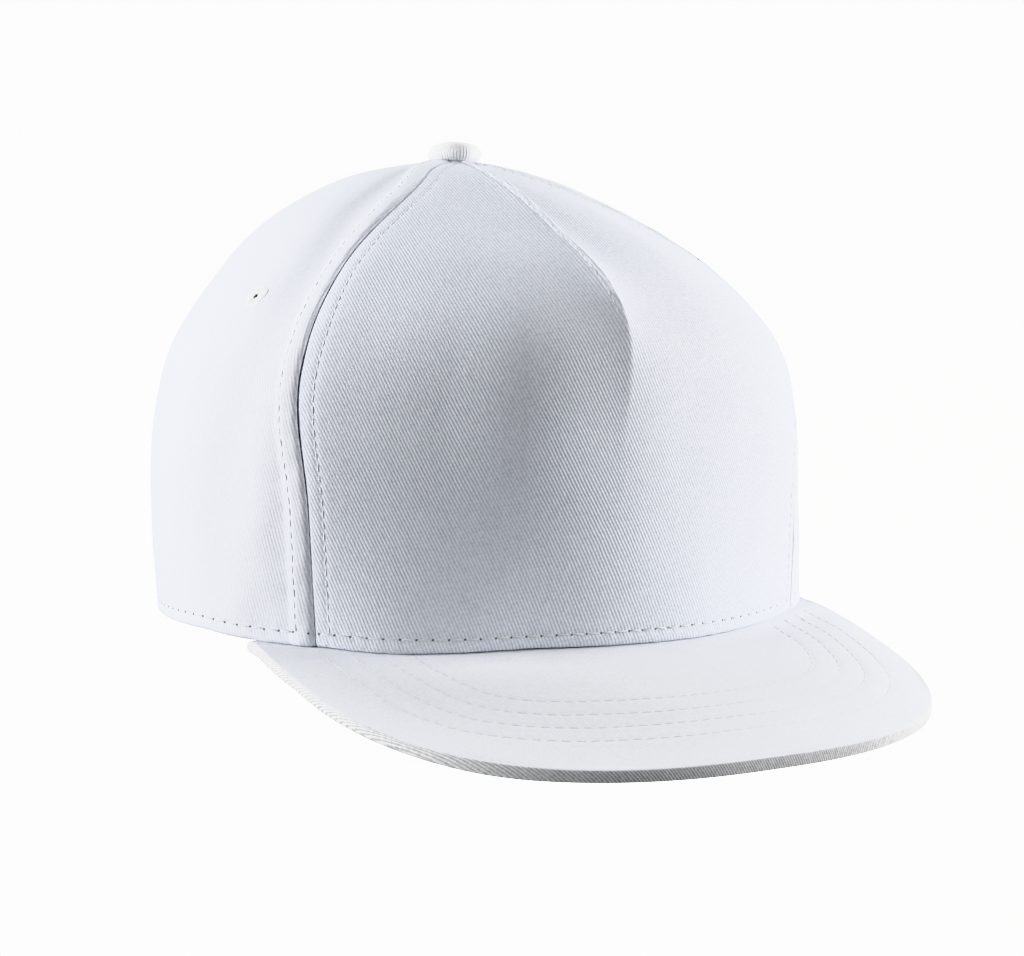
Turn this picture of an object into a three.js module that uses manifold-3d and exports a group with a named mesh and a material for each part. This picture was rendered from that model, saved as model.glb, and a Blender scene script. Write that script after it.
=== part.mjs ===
// A five-panel snapback cap with a flat peak, in millimetres and +Z up.
// It stands on the floor z = 0 on the front edge of its peak and the back of its lower edge.
// The cap faces -Y, and the wearer's left is +X.
// "turn" is an angle round the crown in radians, 0 at the front and positive towards the wearer's left.
// "rise" runs from 0 at the crown's lower edge to 1 at the button.
import * as THREE from "three";
import { mergeVertices } from "three/addons/utils/BufferGeometryUtils.js";
import Module from "manifold-3d";

const wasm = await Module();
wasm.setup();

// Cloth and gaps
const FRONT_WALL = 2.2; // the front panel is stiffer than the others
const SOFT_WALL = 1.8;
const PIECE_GAP = 0.35; // left between any two pieces
const SEAM_GAP = 0.4;

// Crown: level sections, evenly spaced in rise, each with its height and its reach from the widest line
const SECTIONS = [
  { height: 0, front: 71.2, side: 103, back: 94.6, frontRound: 0.935, backRound: 1.04 },
  { height: 27, front: 71.8, side: 103.6, back: 95.9, frontRound: 0.9, backRound: 1.01 },
  { height: 54, front: 73.4, side: 101.4, back: 95, frontRound: 0.86, backRound: 0.98 },
  { height: 78.5, front: 73.4, side: 94, back: 92, frontRound: 0.86, backRound: 0.97 },
  { height: 99, front: 56.6, side: 80, back: 85.5, frontRound: 0.9, backRound: 0.97 },
  { height: 114, front: 33.4, side: 65.8, back: 76, frontRound: 0.98, backRound: 0.97 },
  { height: 125, front: 11.4, side: 49, back: 64, frontRound: 1.02, backRound: 0.97 },
  { height: 132.3, front: -8.4, side: 30.6, back: 48, frontRound: 1.02, backRound: 0.97 },
  { height: 135.9, front: -22.4, side: 3.8, back: 29.7, frontRound: 1, backRound: 1 },
];
const BUTTON_HEIGHT = SECTIONS.at(-1).height;
const BUTTON_SETBACK = 26; // the button's axis lies this far behind the widest line

// Seams: the turn of the front seam and of the rear seam, in degrees, evenly spaced in rise
const SEAMS = [
  { front: 47.5, rear: 113 },
  { front: 48.3, rear: 114 },
  { front: 52.1, rear: 115 },
  { front: 50.3, rear: 115 },
  { front: 40.7, rear: 113 },
  { front: 31.8, rear: 111 },
  { front: 30, rear: 108 },
];
const SEAM_DIP = 0.7; // how far the cloth draws in at a seam
const SEAM_DIP_WIDTH = 2.6;
const BAND_WIDTH = 4.4; // the seam allowance pressed under the side panel's front edge
const BAND_LIFT = 0.8;

// The dart's ridge down the middle of the front panel: its crest, evenly spaced in rise
const RIDGE = [
  { crest: 0 },
  { crest: 0.1 },
  { crest: 0.5 },
  { crest: 2.2 },
  { crest: 4 },
  { crest: 2.8 },
  { crest: 2.1 },
  { crest: 1.4 },
  { crest: 0.6 },
  { crest: 0 },
];
const RIDGE_SPREAD = 9;

// Dents and swells of the soft panels: where, how deep, how wide; drift is degrees of turn per unit of rise
const DENTS = [
  { turn: -55, rise: 0.56, lift: -2.2, turnSpread: 4.5, riseSpread: 0.17, drift: 31 },
  { turn: -68, rise: 0.17, lift: -2.6, turnSpread: 6, riseSpread: 0.085, drift: 20 },
  { turn: -53.5, rise: 0.17, lift: -1.3, turnSpread: 2.6, riseSpread: 0.08, drift: 4 },
  { turn: -79, rise: 0.3, lift: 1, turnSpread: 6, riseSpread: 0.09, drift: -45 },
  { turn: -59, rise: 0.04, lift: -0.8, turnSpread: 2.2, riseSpread: 0.03, drift: 0 },
  { turn: -128, rise: 0.3, lift: -1.8, turnSpread: 9, riseSpread: 0.12, drift: 30 },
  { turn: 62, rise: 0.5, lift: -0.8, turnSpread: 5, riseSpread: 0.13, drift: -28 },
  { turn: 72, rise: 0.2, lift: -2.2, turnSpread: 8, riseSpread: 0.1, drift: -25 },
  { turn: 98, rise: 0.34, lift: -1, turnSpread: 9, riseSpread: 0.1, drift: 0 },
  { turn: 136, rise: 0.28, lift: -1.7, turnSpread: 9, riseSpread: 0.13, drift: -30 },
];

// Peak: a board with a gentle bend across, pitched down from the line where it meets the crown
const PEAK_DEPTH = 70.6; // forward of the crown's lower edge, on the middle line
const PEAK_HALF_WIDTH = 93.2;
const PEAK_ROOT = 39.1; // its corners meet the crown this far ahead of the widest line
const PEAK_PITCH = THREE.MathUtils.degToRad(15.55);
const PEAK_BEND = 6.5e-4; // drop for each square millimetre away from the middle line
const PEAK_BEND_HALF = 86; // where the bend crosses the plane of the crown's lower edge
const PEAK_ASKEW = THREE.MathUtils.degToRad(2.3);
const PEAK_SIDE_ROUND = 0.864;
const PEAK_FRONT_ROUND = 0.643;
const PEAK_THICKNESS = 2.9;
const PEAK_TUCK = 5; // under the crown's wall
const PEAK_EDGE = 1.1; // the rounded rim of the board

// Sweatband
const SWEATBAND_HEIGHT = 30;
const SWEATBAND_WALL = 1.3;
const SWEATBAND_LIFT = 0.8; // its lower edge above the crown's

// Back opening and snap closure
const OPENING_HALF_WIDTH = 39;
const OPENING_HEIGHT = 49;
const STRAP_WIDTH = 19;
const STRAP_WALL = 1.5;
const STRAP_LOWER_EDGE = 1.8;
const STRAP_OVERLAP = 22; // half the length over which the two straps lie on each other
const STRAP_SEWN = 9; // length sewn behind each back panel
const STRAP_BITE = 0.3; // how far the two straps run into each other, as one body
const PEG_RADIUS = 2.1;
const PEG_HEIGHT = 1;
const PEG_PITCH = 9.6;
const PEGS = 5;

// Eyelets: one in each soft panel
const EYELETS = [
  { name: "eyelet_side_right", turn: -70.5, rise: 0.452 },
  { name: "eyelet_side_left", turn: 70.5, rise: 0.452 },
  { name: "eyelet_back_right", turn: -141, rise: 0.49 },
  { name: "eyelet_back_left", turn: 141, rise: 0.49 },
];
const EYELET_RADIUS = 4.6;
const EYELET_HOLE = 1.5;
const EYELET_BARREL = 2.4;
const EYELET_RIM = 0.8;

// Button on top, with its hidden post and inner head
const BUTTON_RADIUS = 8.1;
const BUTTON_TOP = 8.2;
const POST_RADIUS = 1.8;
const POST_HEAD_RADIUS = 4.2;
const POST_HEAD_WALL = 1;

const FLATTENED = 0.5; // how much the cloth and the peak's cover give where they touch the floor

// Colours of the cloth, thread and plastic
const CLOTH = { color: 0xeceef1, roughness: 0.92, metalness: 0 };
const THREAD = { color: 0xf2f3f4, roughness: 0.8, metalness: 0 };
const PLASTIC = { color: 0xf0f1f2, roughness: 0.45, metalness: 0 };

const { clamp, degToRad, lerp, smoothstep } = THREE.MathUtils;

// A function of 0..1 that runs smoothly through one column of a table.
function columnCurve(table, key) {
  const curve = new THREE.SplineCurve(table.map((row, i) => new THREE.Vector2(i, row[key])));
  return (share) => curve.getPoint(clamp(share, 0, 1)).y;
}

const section = Object.fromEntries(Object.keys(SECTIONS[0]).map((key) => [key, columnCurve(SECTIONS, key)]));
const seamTurn = { front: columnCurve(SEAMS, "front"), rear: columnCurve(SEAMS, "rear") };
const ridgeCrest = columnCurve(RIDGE, "crest");

const signedPower = (value, power) => Math.sign(value) * Math.abs(value) ** power;

// Height of the peak's upper face over the point x, forward, in the crown's own level frame.
function peakTop(x, forward) {
  const bend = PEAK_BEND * (PEAK_BEND_HALF ** 2 - x * x);
  return bend - (forward - PEAK_ROOT) * Math.tan(PEAK_PITCH);
}

// A point of the crown let down so that the lower edge follows the peak's upper face.
function letDown(point) {
  const fade = clamp(1 - point.z / SWEATBAND_HEIGHT, 0, 1) ** 2;
  const overPeak = smoothstep(-point.y, PEAK_ROOT - 2 * PEAK_TUCK, PEAK_ROOT - PEAK_TUCK);
  return point.setZ(point.z + fade * overPeak * (peakTop(point.x, -point.y) + PIECE_GAP));
}

// The crown's outer skin without dents or seams.
function skinPoint(turn, rise) {
  const height = section.height(rise);
  const axis = BUTTON_SETBACK * clamp(height / BUTTON_HEIGHT, 0, 1);
  const ahead = Math.cos(turn) > 0;
  const round = ahead ? section.frontRound(rise) : section.backRound(rise);
  const reach = ahead ? section.front(rise) + axis : section.back(rise) - axis;
  const x = section.side(rise) * signedPower(Math.sin(turn), round);
  const forward = reach * signedPower(Math.cos(turn), round) - axis;
  return new THREE.Vector3(x, -forward, height);
}

// The skin's outward normal; level at the lower edge, so that the hem's face is level too.
function skinNormal(turn, rise) {
  const step = 0.004;
  const low = Math.max(rise - step, 0);
  const high = Math.min(rise + step, 1);
  const along = skinPoint(turn + step, rise).sub(skinPoint(turn - step, rise));
  const up = skinPoint(turn, high).sub(skinPoint(turn, low));
  const normal = along.cross(up);
  if (rise === 0) normal.z = 0;
  return normal.normalize();
}

// How far the dents move the skin outwards.
function dentLift(turn, rise) {
  return DENTS.reduce((sum, dent) => {
    const middle = degToRad(dent.turn + dent.drift * (rise - dent.rise));
    const across = (turn - middle) / degToRad(dent.turnSpread);
    const along = (rise - dent.rise) / dent.riseSpread;
    return sum + dent.lift * Math.exp(-(across ** 2 + along ** 2) / 2);
  }, 0);
}

// The skin moved outwards by lift, with its dents.
function crownPoint(turn, rise, lift) {
  const out = lift + dentLift(turn, rise);
  return letDown(skinPoint(turn, rise).addScaledVector(skinNormal(turn, rise), out));
}

// Turn between two seams at a share of the way across, held back from both by half the seam gap.
function turnAcross(panel, share, rise) {
  const left = panel.from(rise);
  const right = panel.to(rise);
  const middle = (left + right) / 2;
  const span = skinPoint(middle + 0.01, rise).distanceTo(skinPoint(middle - 0.01, rise)) / 0.02;
  const inset = SEAM_GAP / 2 / span;
  return lerp(left + inset, right - inset, share);
}

// Relief of a panel's outer face at a distance from each of its two edges.
function seamRelief(panel, fromLeft, fromRight) {
  const dip = (distance) => -SEAM_DIP * Math.exp(-distance / SEAM_DIP_WIDTH);
  const band = (distance) => BAND_LIFT * (1 - smoothstep(distance, BAND_WIDTH * 0.7, BAND_WIDTH * 1.3));
  const left = panel.band === "left" ? band(fromLeft) : 0;
  const right = panel.band === "right" ? band(fromRight) : 0;
  return dip(fromLeft) + dip(fromRight) + left + right;
}

// A closed wall from an outer and an inner grid of points, rows by columns, wound outwards.
function wallGeometry(outer, inner) {
  const rows = outer.length;
  const columns = outer[0].length;
  const positions = [...outer.flat(), ...inner.flat()].flatMap((p) => p.toArray());
  const faces = [];
  const quad = (a, b, c, d) => faces.push(a, b, c, a, c, d);
  const out = (r, c) => r * columns + c;
  const back = (r, c) => rows * columns + r * columns + c;
  for (let r = 0; r < rows - 1; r++) {
    for (let c = 0; c < columns - 1; c++) {
      quad(out(r, c), out(r, c + 1), out(r + 1, c + 1), out(r + 1, c));
      quad(back(r, c), back(r + 1, c), back(r + 1, c + 1), back(r, c + 1));
    }
    quad(out(r, 0), out(r + 1, 0), back(r + 1, 0), back(r, 0));
    quad(out(r, columns - 1), back(r, columns - 1), back(r + 1, columns - 1), out(r + 1, columns - 1));
  }
  for (let c = 0; c < columns - 1; c++) {
    quad(out(0, c), back(0, c), back(0, c + 1), out(0, c + 1));
    quad(out(rows - 1, c), out(rows - 1, c + 1), back(rows - 1, c + 1), back(rows - 1, c));
  }
  const geometry = new THREE.BufferGeometry();
  geometry.setAttribute("position", new THREE.Float32BufferAttribute(positions, 3));
  geometry.setIndex(faces);
  return geometry;
}

// A grid of points, one row for each rise and one point for each share.
function grid(rises, shares, place) {
  return rises.map((rise) => shares.map((share) => place(share, rise)));
}

const evenly = (count) => Array.from({ length: count + 1 }, (unused, i) => i / count);

// A solid for cutting and joining.
function toSolid(geometry) {
  const bare = geometry.clone();
  bare.deleteAttribute("normal");
  bare.deleteAttribute("uv");
  const merged = mergeVertices(bare, 1e-4);
  const triVerts = new Uint32Array(merged.index.array);
  return new wasm.Manifold(
    new wasm.Mesh({ numProp: 3, vertProperties: merged.attributes.position.array, triVerts }),
  );
}

// A mesh's geometry from a solid.
function toGeometry(solid) {
  const { vertProperties, triVerts } = solid.getMesh();
  const geometry = new THREE.BufferGeometry();
  geometry.setAttribute("position", new THREE.BufferAttribute(new Float32Array(vertProperties), 3));
  geometry.setIndex(new THREE.BufferAttribute(new Uint32Array(triVerts), 1));
  geometry.computeVertexNormals();
  return geometry;
}

function namedMesh(name, geometry, finish) {
  const mesh = new THREE.Mesh(geometry, new THREE.MeshStandardMaterial(finish));
  mesh.name = name;
  return mesh;
}

// Panels of the crown: where each runs, which edge carries the pressed seam allowance, and its columns
const FRONT_COLUMNS = [0, 0.02, 0.06, 0.13, 0.21, 0.29, 0.36, 0.41, 0.45, 0.48];
const SIDE_COLUMNS = [0, 0.02, 0.045, 0.07, 0.12, 0.19, 0.27, 0.36, 0.46, 0.56, 0.67, 0.78, 0.88, 0.95, 1];
const BACK_COLUMNS = [0, 0.04, 0.12, 0.22, 0.33, 0.44, 0.55, 0.66, 0.77, 0.87, 0.95, 1];
const mirrored = (shares) => shares.map((share) => 1 - share).reverse();
const PANELS = [
  {
    name: "front_panel",
    from: (rise) => -degToRad(seamTurn.front(rise)),
    to: (rise) => degToRad(seamTurn.front(rise)),
    columns: [...FRONT_COLUMNS, 0.5, ...mirrored(FRONT_COLUMNS)],
    wall: FRONT_WALL,
    band: "none",
    rows: 24,
  },
  {
    name: "side_panel_right",
    from: (rise) => -degToRad(seamTurn.rear(rise)),
    to: (rise) => -degToRad(seamTurn.front(rise)),
    columns: mirrored(SIDE_COLUMNS),
    wall: SOFT_WALL,
    band: "right",
    rows: 20,
  },
  {
    name: "side_panel_left",
    from: (rise) => degToRad(seamTurn.front(rise)),
    to: (rise) => degToRad(seamTurn.rear(rise)),
    columns: SIDE_COLUMNS,
    wall: SOFT_WALL,
    band: "left",
    rows: 20,
  },
  {
    name: "back_panel_right",
    from: () => -Math.PI,
    to: (rise) => -degToRad(seamTurn.rear(rise)),
    columns: BACK_COLUMNS,
    wall: SOFT_WALL,
    band: "none",
    rows: 18,
  },
  {
    name: "back_panel_left",
    from: (rise) => degToRad(seamTurn.rear(rise)),
    to: () => Math.PI,
    columns: mirrored(BACK_COLUMNS),
    wall: SOFT_WALL,
    band: "none",
    rows: 18,
  },
];

function panelGeometry(panel) {
  const rises = evenly(panel.rows);
  const outer = grid(rises, panel.columns, (share, rise) => {
    const turn = turnAcross(panel, share, rise);
    const here = skinPoint(turn, rise);
    const fromLeft = here.distanceTo(skinPoint(panel.from(rise), rise));
    const fromRight = here.distanceTo(skinPoint(panel.to(rise), rise));
    const ridge = panel.name === "front_panel" ? ridgeCrest(rise) * Math.exp(-Math.abs(here.x) / RIDGE_SPREAD) : 0;
    return crownPoint(turn, rise, ridge + seamRelief(panel, fromLeft, fromRight));
  });
  const inner = grid(rises, panel.columns, (share, rise) => {
    const turn = turnAcross(panel, share, rise);
    const x = skinPoint(turn, rise).x;
    const ridge = panel.name === "front_panel" ? ridgeCrest(rise) * Math.exp(-Math.abs(x) / RIDGE_SPREAD) : 0;
    return crownPoint(turn, rise, ridge - panel.wall);
  });
  return wallGeometry(outer, inner);
}

// The half-moon opening at the back, as a prism that runs through both back panels.
function openingGeometry() {
  const halfMoon = new THREE.Shape();
  halfMoon.absellipse(0, 0, OPENING_HALF_WIDTH, OPENING_HEIGHT, 0, Math.PI, false);
  halfMoon.lineTo(-OPENING_HALF_WIDTH, -OPENING_HEIGHT / 2);
  halfMoon.lineTo(OPENING_HALF_WIDTH, -OPENING_HEIGHT / 2);
  const depth = SECTIONS[0].back;
  const prism = new THREE.ExtrudeGeometry(halfMoon, { depth, bevelEnabled: false, curveSegments: 14 });
  prism.rotateX(Math.PI / 2);
  prism.translate(0, SECTIONS[0].back * 1.4, 0);
  return prism;
}

// Where an eyelet sits: its centre on the outer face, and the turn from +Z to the face's normal.
function eyeletSeat(eyelet) {
  const turn = degToRad(eyelet.turn);
  const centre = crownPoint(turn, eyelet.rise, 0);
  const quaternion = new THREE.Quaternion();
  quaternion.setFromUnitVectors(new THREE.Vector3(0, 0, 1), skinNormal(turn, eyelet.rise));
  return { centre, quaternion };
}

function eyeletMesh(eyelet) {
  const lower = -SOFT_WALL - PIECE_GAP;
  const profile = [
    [EYELET_HOLE, lower],
    [EYELET_BARREL, lower],
    [EYELET_BARREL, PIECE_GAP],
    [EYELET_RADIUS, PIECE_GAP],
    [EYELET_RADIUS - 0.5, PIECE_GAP + EYELET_RIM],
    [EYELET_HOLE + 0.5, PIECE_GAP + EYELET_RIM],
    [EYELET_HOLE, PIECE_GAP],
    [EYELET_HOLE, lower],
  ];
  const ring = new THREE.LatheGeometry(profile.map(([r, z]) => new THREE.Vector2(r, z)), 14);
  ring.rotateX(Math.PI / 2);
  const mesh = namedMesh(eyelet.name, ring, THREAD);
  const { centre, quaternion } = eyeletSeat(eyelet);
  mesh.position.copy(centre);
  mesh.quaternion.copy(quaternion);
  return mesh;
}

// The hole that an eyelet's barrel needs.
function eyeletHole(eyelet) {
  const hole = new THREE.CylinderGeometry(EYELET_BARREL + PIECE_GAP, EYELET_BARREL + PIECE_GAP, 12, 14);
  hole.rotateX(Math.PI / 2);
  const { centre, quaternion } = eyeletSeat(eyelet);
  hole.applyQuaternion(quaternion);
  hole.translate(...centre);
  return hole;
}

// The peak's outline on its plan: across is -1 at the wearer's right corner and 1 at the left.
function peakEdge(across) {
  const angle = (across * Math.PI) / 2;
  const reach = SECTIONS[0].front + PEAK_DEPTH - PEAK_ROOT;
  const x = PEAK_HALF_WIDTH * signedPower(Math.sin(angle), PEAK_SIDE_ROUND);
  const forward = PEAK_ROOT + reach * Math.max(Math.cos(angle), 0) ** PEAK_FRONT_ROUND;
  return new THREE.Vector2(x, forward).rotateAround(new THREE.Vector2(), -PEAK_ASKEW);
}

// The crown's lower edge on the peak's plan, moved inwards by the tuck.
function peakRoot(across) {
  const corner = Math.acos(clamp(PEAK_ROOT / SECTIONS[0].front, 0, 1) ** (1 / SECTIONS[0].frontRound));
  const turn = across * corner;
  const edge = skinPoint(turn, 0).addScaledVector(skinNormal(turn, 0), -PEAK_TUCK);
  return new THREE.Vector2(edge.x, -edge.y);
}

function peakGeometry() {
  const columns = evenly(40).map((share) => 2 * share - 1);
  const rows = [0, 0.12, 0.3, 0.5, 0.7, 0.87];
  const place = (across, share) => peakRoot(across).lerp(peakEdge(across), share);
  const face = (offset, rimOffset) => {
    const points = rows.map((share) => columns.map((across) => [place(across, share), offset]));
    const rim = columns.map((across) => {
      const edge = peakEdge(across);
      const inward = peakRoot(across).sub(edge).normalize();
      return [edge.addScaledVector(inward, PEAK_EDGE), offset];
    });
    const outline = columns.map((across) => [peakEdge(across), rimOffset]);
    const level = [...points, rim, outline];
    return level.map((row) => row.map(([p, drop]) => new THREE.Vector3(p.x, -p.y, peakTop(p.x, p.y) - drop)));
  };
  const middle = PEAK_THICKNESS / 2;
  const top = face(0, middle - PEAK_EDGE / 2);
  const under = face(PEAK_THICKNESS, middle + PEAK_EDGE / 2);
  return wallGeometry(under, top);
}

// The angle round the crown at which its lower edge is this far from the middle of the back.
function turnAtBack(halfWidth) {
  const share = halfWidth / SECTIONS[0].side;
  return Math.PI - Math.asin(share ** (1 / SECTIONS[0].backRound));
}

// The rise of a height near the lower edge.
const riseAt = (height) => height / SECTIONS[1].height / (SECTIONS.length - 1);

// The sweatband, drawn in at its ends so that the straps pass behind it.
function sweatbandGeometry() {
  const end = turnAtBack(OPENING_HALF_WIDTH + 2);
  const strapEnd = turnAtBack(OPENING_HALF_WIDTH + STRAP_SEWN + 2);
  const clear = turnAtBack(OPENING_HALF_WIDTH + STRAP_SEWN + 18);
  const shares = evenly(64);
  const top = riseAt(SWEATBAND_HEIGHT);
  const rises = [0, top / 3, (2 * top) / 3, top];
  const face = (wall) =>
    grid(rises, shares, (share, rise) => {
      const turn = lerp(-end, end, share);
      const behindStrap = smoothstep(Math.abs(turn), clear, strapEnd) * (STRAP_WALL + 2 * PIECE_GAP);
      const inset = Math.max(FRONT_WALL, SOFT_WALL) + PIECE_GAP + behindStrap + wall;
      const point = crownPoint(turn, rise, -inset);
      const foot = clamp(1 - point.z / SWEATBAND_HEIGHT, 0, 1) * SWEATBAND_LIFT;
      return point.setZ(point.z + foot);
    });
  return wallGeometry(face(0), face(SWEATBAND_WALL));
}

// A strip of strap along the crown's lower edge, from one distance to another along the back.
function strapGeometry(from, to, inset, wall) {
  const heights = [STRAP_LOWER_EDGE, STRAP_LOWER_EDGE + STRAP_WIDTH];
  const shares = evenly(Math.max(6, Math.round((to - from) / 6)));
  const face = (depth) =>
    heights.map((height) =>
      shares.map((share) => {
        const along = lerp(from, to, share);
        const turn = Math.sign(along || 1) * turnAtBack(Math.abs(along));
        const point = skinPoint(turn, riseAt(height));
        return point.addScaledVector(skinNormal(turn, 0), -inset - depth).setZ(height);
      }),
    );
  return wallGeometry(face(wall), face(0));
}

function snapClosureGeometry() {
  const end = OPENING_HALF_WIDTH + STRAP_SEWN;
  const inset = SOFT_WALL + PIECE_GAP + 0.6;
  const under = toSolid(strapGeometry(-end, end, inset, STRAP_WALL));
  const over = toSolid(strapGeometry(-STRAP_OVERLAP, STRAP_OVERLAP, inset - STRAP_WALL + STRAP_BITE, STRAP_WALL));
  const middle = STRAP_LOWER_EDGE + STRAP_WIDTH / 2;
  const pegs = Array.from({ length: PEGS }, (unused, i) => {
    const along = (i - (PEGS - 1) / 2) * PEG_PITCH;
    const peg = new THREE.CylinderGeometry(PEG_RADIUS, PEG_RADIUS, STRAP_WALL + PEG_HEIGHT, 12);
    const turn = Math.sign(along || 1) * turnAtBack(Math.abs(along));
    const lift = -inset + STRAP_WALL / 2 + PEG_HEIGHT / 2;
    const point = skinPoint(turn, 0).addScaledVector(skinNormal(turn, 0), lift);
    peg.translate(point.x, point.y, middle);
    return toSolid(peg);
  });
  return toGeometry(pegs.reduce((sum, peg) => sum.add(peg), under.add(over)));
}

function buttonMesh() {
  const wallUnder = FRONT_WALL + PIECE_GAP + 0.3;
  const profile = [
    [0, -wallUnder - POST_HEAD_WALL],
    [POST_HEAD_RADIUS, -wallUnder - POST_HEAD_WALL],
    [POST_HEAD_RADIUS, -wallUnder],
    [POST_RADIUS, -wallUnder],
    [POST_RADIUS, PIECE_GAP],
    [BUTTON_RADIUS * 0.76, PIECE_GAP],
    [BUTTON_RADIUS * 0.93, BUTTON_TOP * 0.24],
    [BUTTON_RADIUS, BUTTON_TOP * 0.5],
    [BUTTON_RADIUS * 0.98, BUTTON_TOP * 0.72],
    [BUTTON_RADIUS * 0.86, BUTTON_TOP * 0.89],
    [BUTTON_RADIUS * 0.6, BUTTON_TOP * 0.98],
    [0, BUTTON_TOP],
  ];
  const knob = new THREE.LatheGeometry(profile.map(([r, z]) => new THREE.Vector2(r, z)), 24);
  knob.rotateX(Math.PI / 2);
  const mesh = namedMesh("button", knob, CLOTH);
  mesh.position.set(0, BUTTON_SETBACK, BUTTON_HEIGHT);
  return mesh;
}

// The tilt about X at which the peak's front edge and the back of the crown touch one level floor.
function restTilt(peak) {
  const position = peak.getAttribute("position");
  const peakPoints = Array.from({ length: position.count }, (unused, i) =>
    new THREE.Vector3().fromBufferAttribute(position, i),
  );
  const backPoint = skinPoint(turnAtBack(OPENING_HALF_WIDTH), 0);
  const heightAt = (point, tilt) => point.z * Math.cos(tilt) + point.y * Math.sin(tilt);
  let low = -0.5;
  let high = 0.5;
  for (let i = 0; i < 40; i++) {
    const tilt = (low + high) / 2;
    const peakLow = Math.min(...peakPoints.map((point) => heightAt(point, tilt)));
    if (peakLow < heightAt(backPoint, tilt)) high = tilt;
    else low = tilt;
  }
  return { tilt: low, floor: heightAt(backPoint, low) };
}

// Everything below the floor, in the crown's own level frame.
function floorSolid({ tilt, floor }) {
  const size = 600;
  const slab = new THREE.BoxGeometry(size, size, size);
  slab.translate(0, 0, floor + FLATTENED - size / 2);
  slab.rotateX(-tilt);
  return toSolid(slab);
}

const peak = peakGeometry();
const rest = restTilt(peak);
const floor = floorSolid(rest);
const opening = toSolid(openingGeometry());

const worn = new THREE.Group();
for (const panel of PANELS) {
  let solid = toSolid(panelGeometry(panel));
  if (panel.name.startsWith("back")) solid = solid.subtract(opening);
  for (const eyelet of EYELETS) solid = solid.subtract(toSolid(eyeletHole(eyelet)));
  worn.add(namedMesh(panel.name, toGeometry(solid.subtract(floor)), CLOTH));
}
worn.add(namedMesh("peak", toGeometry(toSolid(peak).subtract(floor)), CLOTH));
worn.add(namedMesh("sweatband", sweatbandGeometry(), CLOTH));
worn.add(namedMesh("snap_closure", snapClosureGeometry(), PLASTIC));
worn.add(buttonMesh());
for (const eyelet of EYELETS) worn.add(eyeletMesh(eyelet));

// The cap stands on the floor, its box centred on the origin.
worn.rotation.x = rest.tilt;
worn.updateMatrixWorld(true);
const box = new THREE.Box3().setFromObject(worn, true);
const middle = box.getCenter(new THREE.Vector3());
worn.position.set(-middle.x, -middle.y, -box.min.z);

const cap = new THREE.Group();
cap.add(worn);
export default cap;
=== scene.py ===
"""A white cotton snapback cap: cloth, seams, stitches and studio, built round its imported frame.

Sizes of the cap are millimetres, or metres where they are multiplied by MM. The studio's are metres. The cap is
described "as worn", level and facing -Y with the wearer's left at +X, and then set down as it stands on the floor.
"turn" is the angle round the crown from the front, positive towards the wearer's left.
"rise" runs from 0 at the crown's lower edge to 1 at the button.
"""

import logging
import math
from collections.abc import Callable
from dataclasses import dataclass, replace
from enum import Enum

import bpy
import numpy as np
from mathutils import Matrix, Vector
from mathutils.bvhtree import BVHTree
from mathutils.kdtree import KDTree

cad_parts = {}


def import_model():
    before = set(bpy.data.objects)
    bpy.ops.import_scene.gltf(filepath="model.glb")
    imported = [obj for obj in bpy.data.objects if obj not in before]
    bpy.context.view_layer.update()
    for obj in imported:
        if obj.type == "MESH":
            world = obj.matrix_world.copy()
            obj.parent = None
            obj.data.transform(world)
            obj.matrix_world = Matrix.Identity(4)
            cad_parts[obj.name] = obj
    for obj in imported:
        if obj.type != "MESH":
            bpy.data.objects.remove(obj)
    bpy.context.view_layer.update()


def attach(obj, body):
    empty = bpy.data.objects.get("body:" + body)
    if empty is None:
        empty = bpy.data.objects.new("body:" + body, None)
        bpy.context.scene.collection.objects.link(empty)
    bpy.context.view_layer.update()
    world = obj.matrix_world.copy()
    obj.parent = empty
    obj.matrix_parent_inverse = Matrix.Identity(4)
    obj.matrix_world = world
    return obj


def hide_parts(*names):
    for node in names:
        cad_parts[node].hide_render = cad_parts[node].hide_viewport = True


log = logging.getLogger("cap")

Array = np.ndarray
Piece = bpy.types.Object
Socket = bpy.types.NodeSocket

MM = 0.001
BODY = "root"


class Edge(Enum):
    """An edge between two panels: its side, -1 on the wearer's right, and its column in CrownForm.seams."""

    RIGHT_FRONT = (-1.0, 0)
    LEFT_FRONT = (1.0, 0)
    RIGHT_REAR = (-1.0, 1)
    LEFT_REAR = (1.0, 1)
    RIGHT_BACK = (-1.0, None)
    LEFT_BACK = (1.0, None)

    @property
    def at_back(self) -> bool:
        """Whether it is the middle of the back."""
        return self.value[1] is None


class Element(Enum):
    """What is selected in edit mode."""

    EDGE = "EDGE"
    FACE = "FACE"


# Small tools


def settle(value: Array, low: float, high: float) -> Array:
    """Smooth step from 0 at low to 1 at high."""
    share = np.clip((value - low) / (high - low), 0.0, 1.0)
    return share * share * (3.0 - 2.0 * share)


def power(value: Array, exponent: Array) -> Array:
    """A power that keeps the sign of its base."""
    return np.sign(value) * np.abs(value) ** exponent


def rounded(distance: Array, radius: float) -> Array:
    """Drop of a rounded edge at a distance from the edge.

    Args:
        distance: how far each point is from the edge.
        radius: radius of the rounding.

    Returns:
        The drop, radius at the edge itself and 0 beyond the rounding.
    """
    inside = np.clip(1.0 - distance / radius, 0.0, 1.0)
    return radius * (1.0 - np.sqrt(1.0 - inside * inside))


def spread(share: Array, crowding: float) -> Array:
    """Moves evenly spaced shares towards both ends, by a crowding of 0 to 1."""
    return crowding * (1.0 - np.cos(np.pi * share)) / 2.0 + (1.0 - crowding) * share


def along_rise(table: tuple, rise: Array) -> Array:
    """Reads a table whose values are evenly spaced in rise."""
    return np.interp(rise, np.linspace(0.0, 1.0, len(table)), table)


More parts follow.
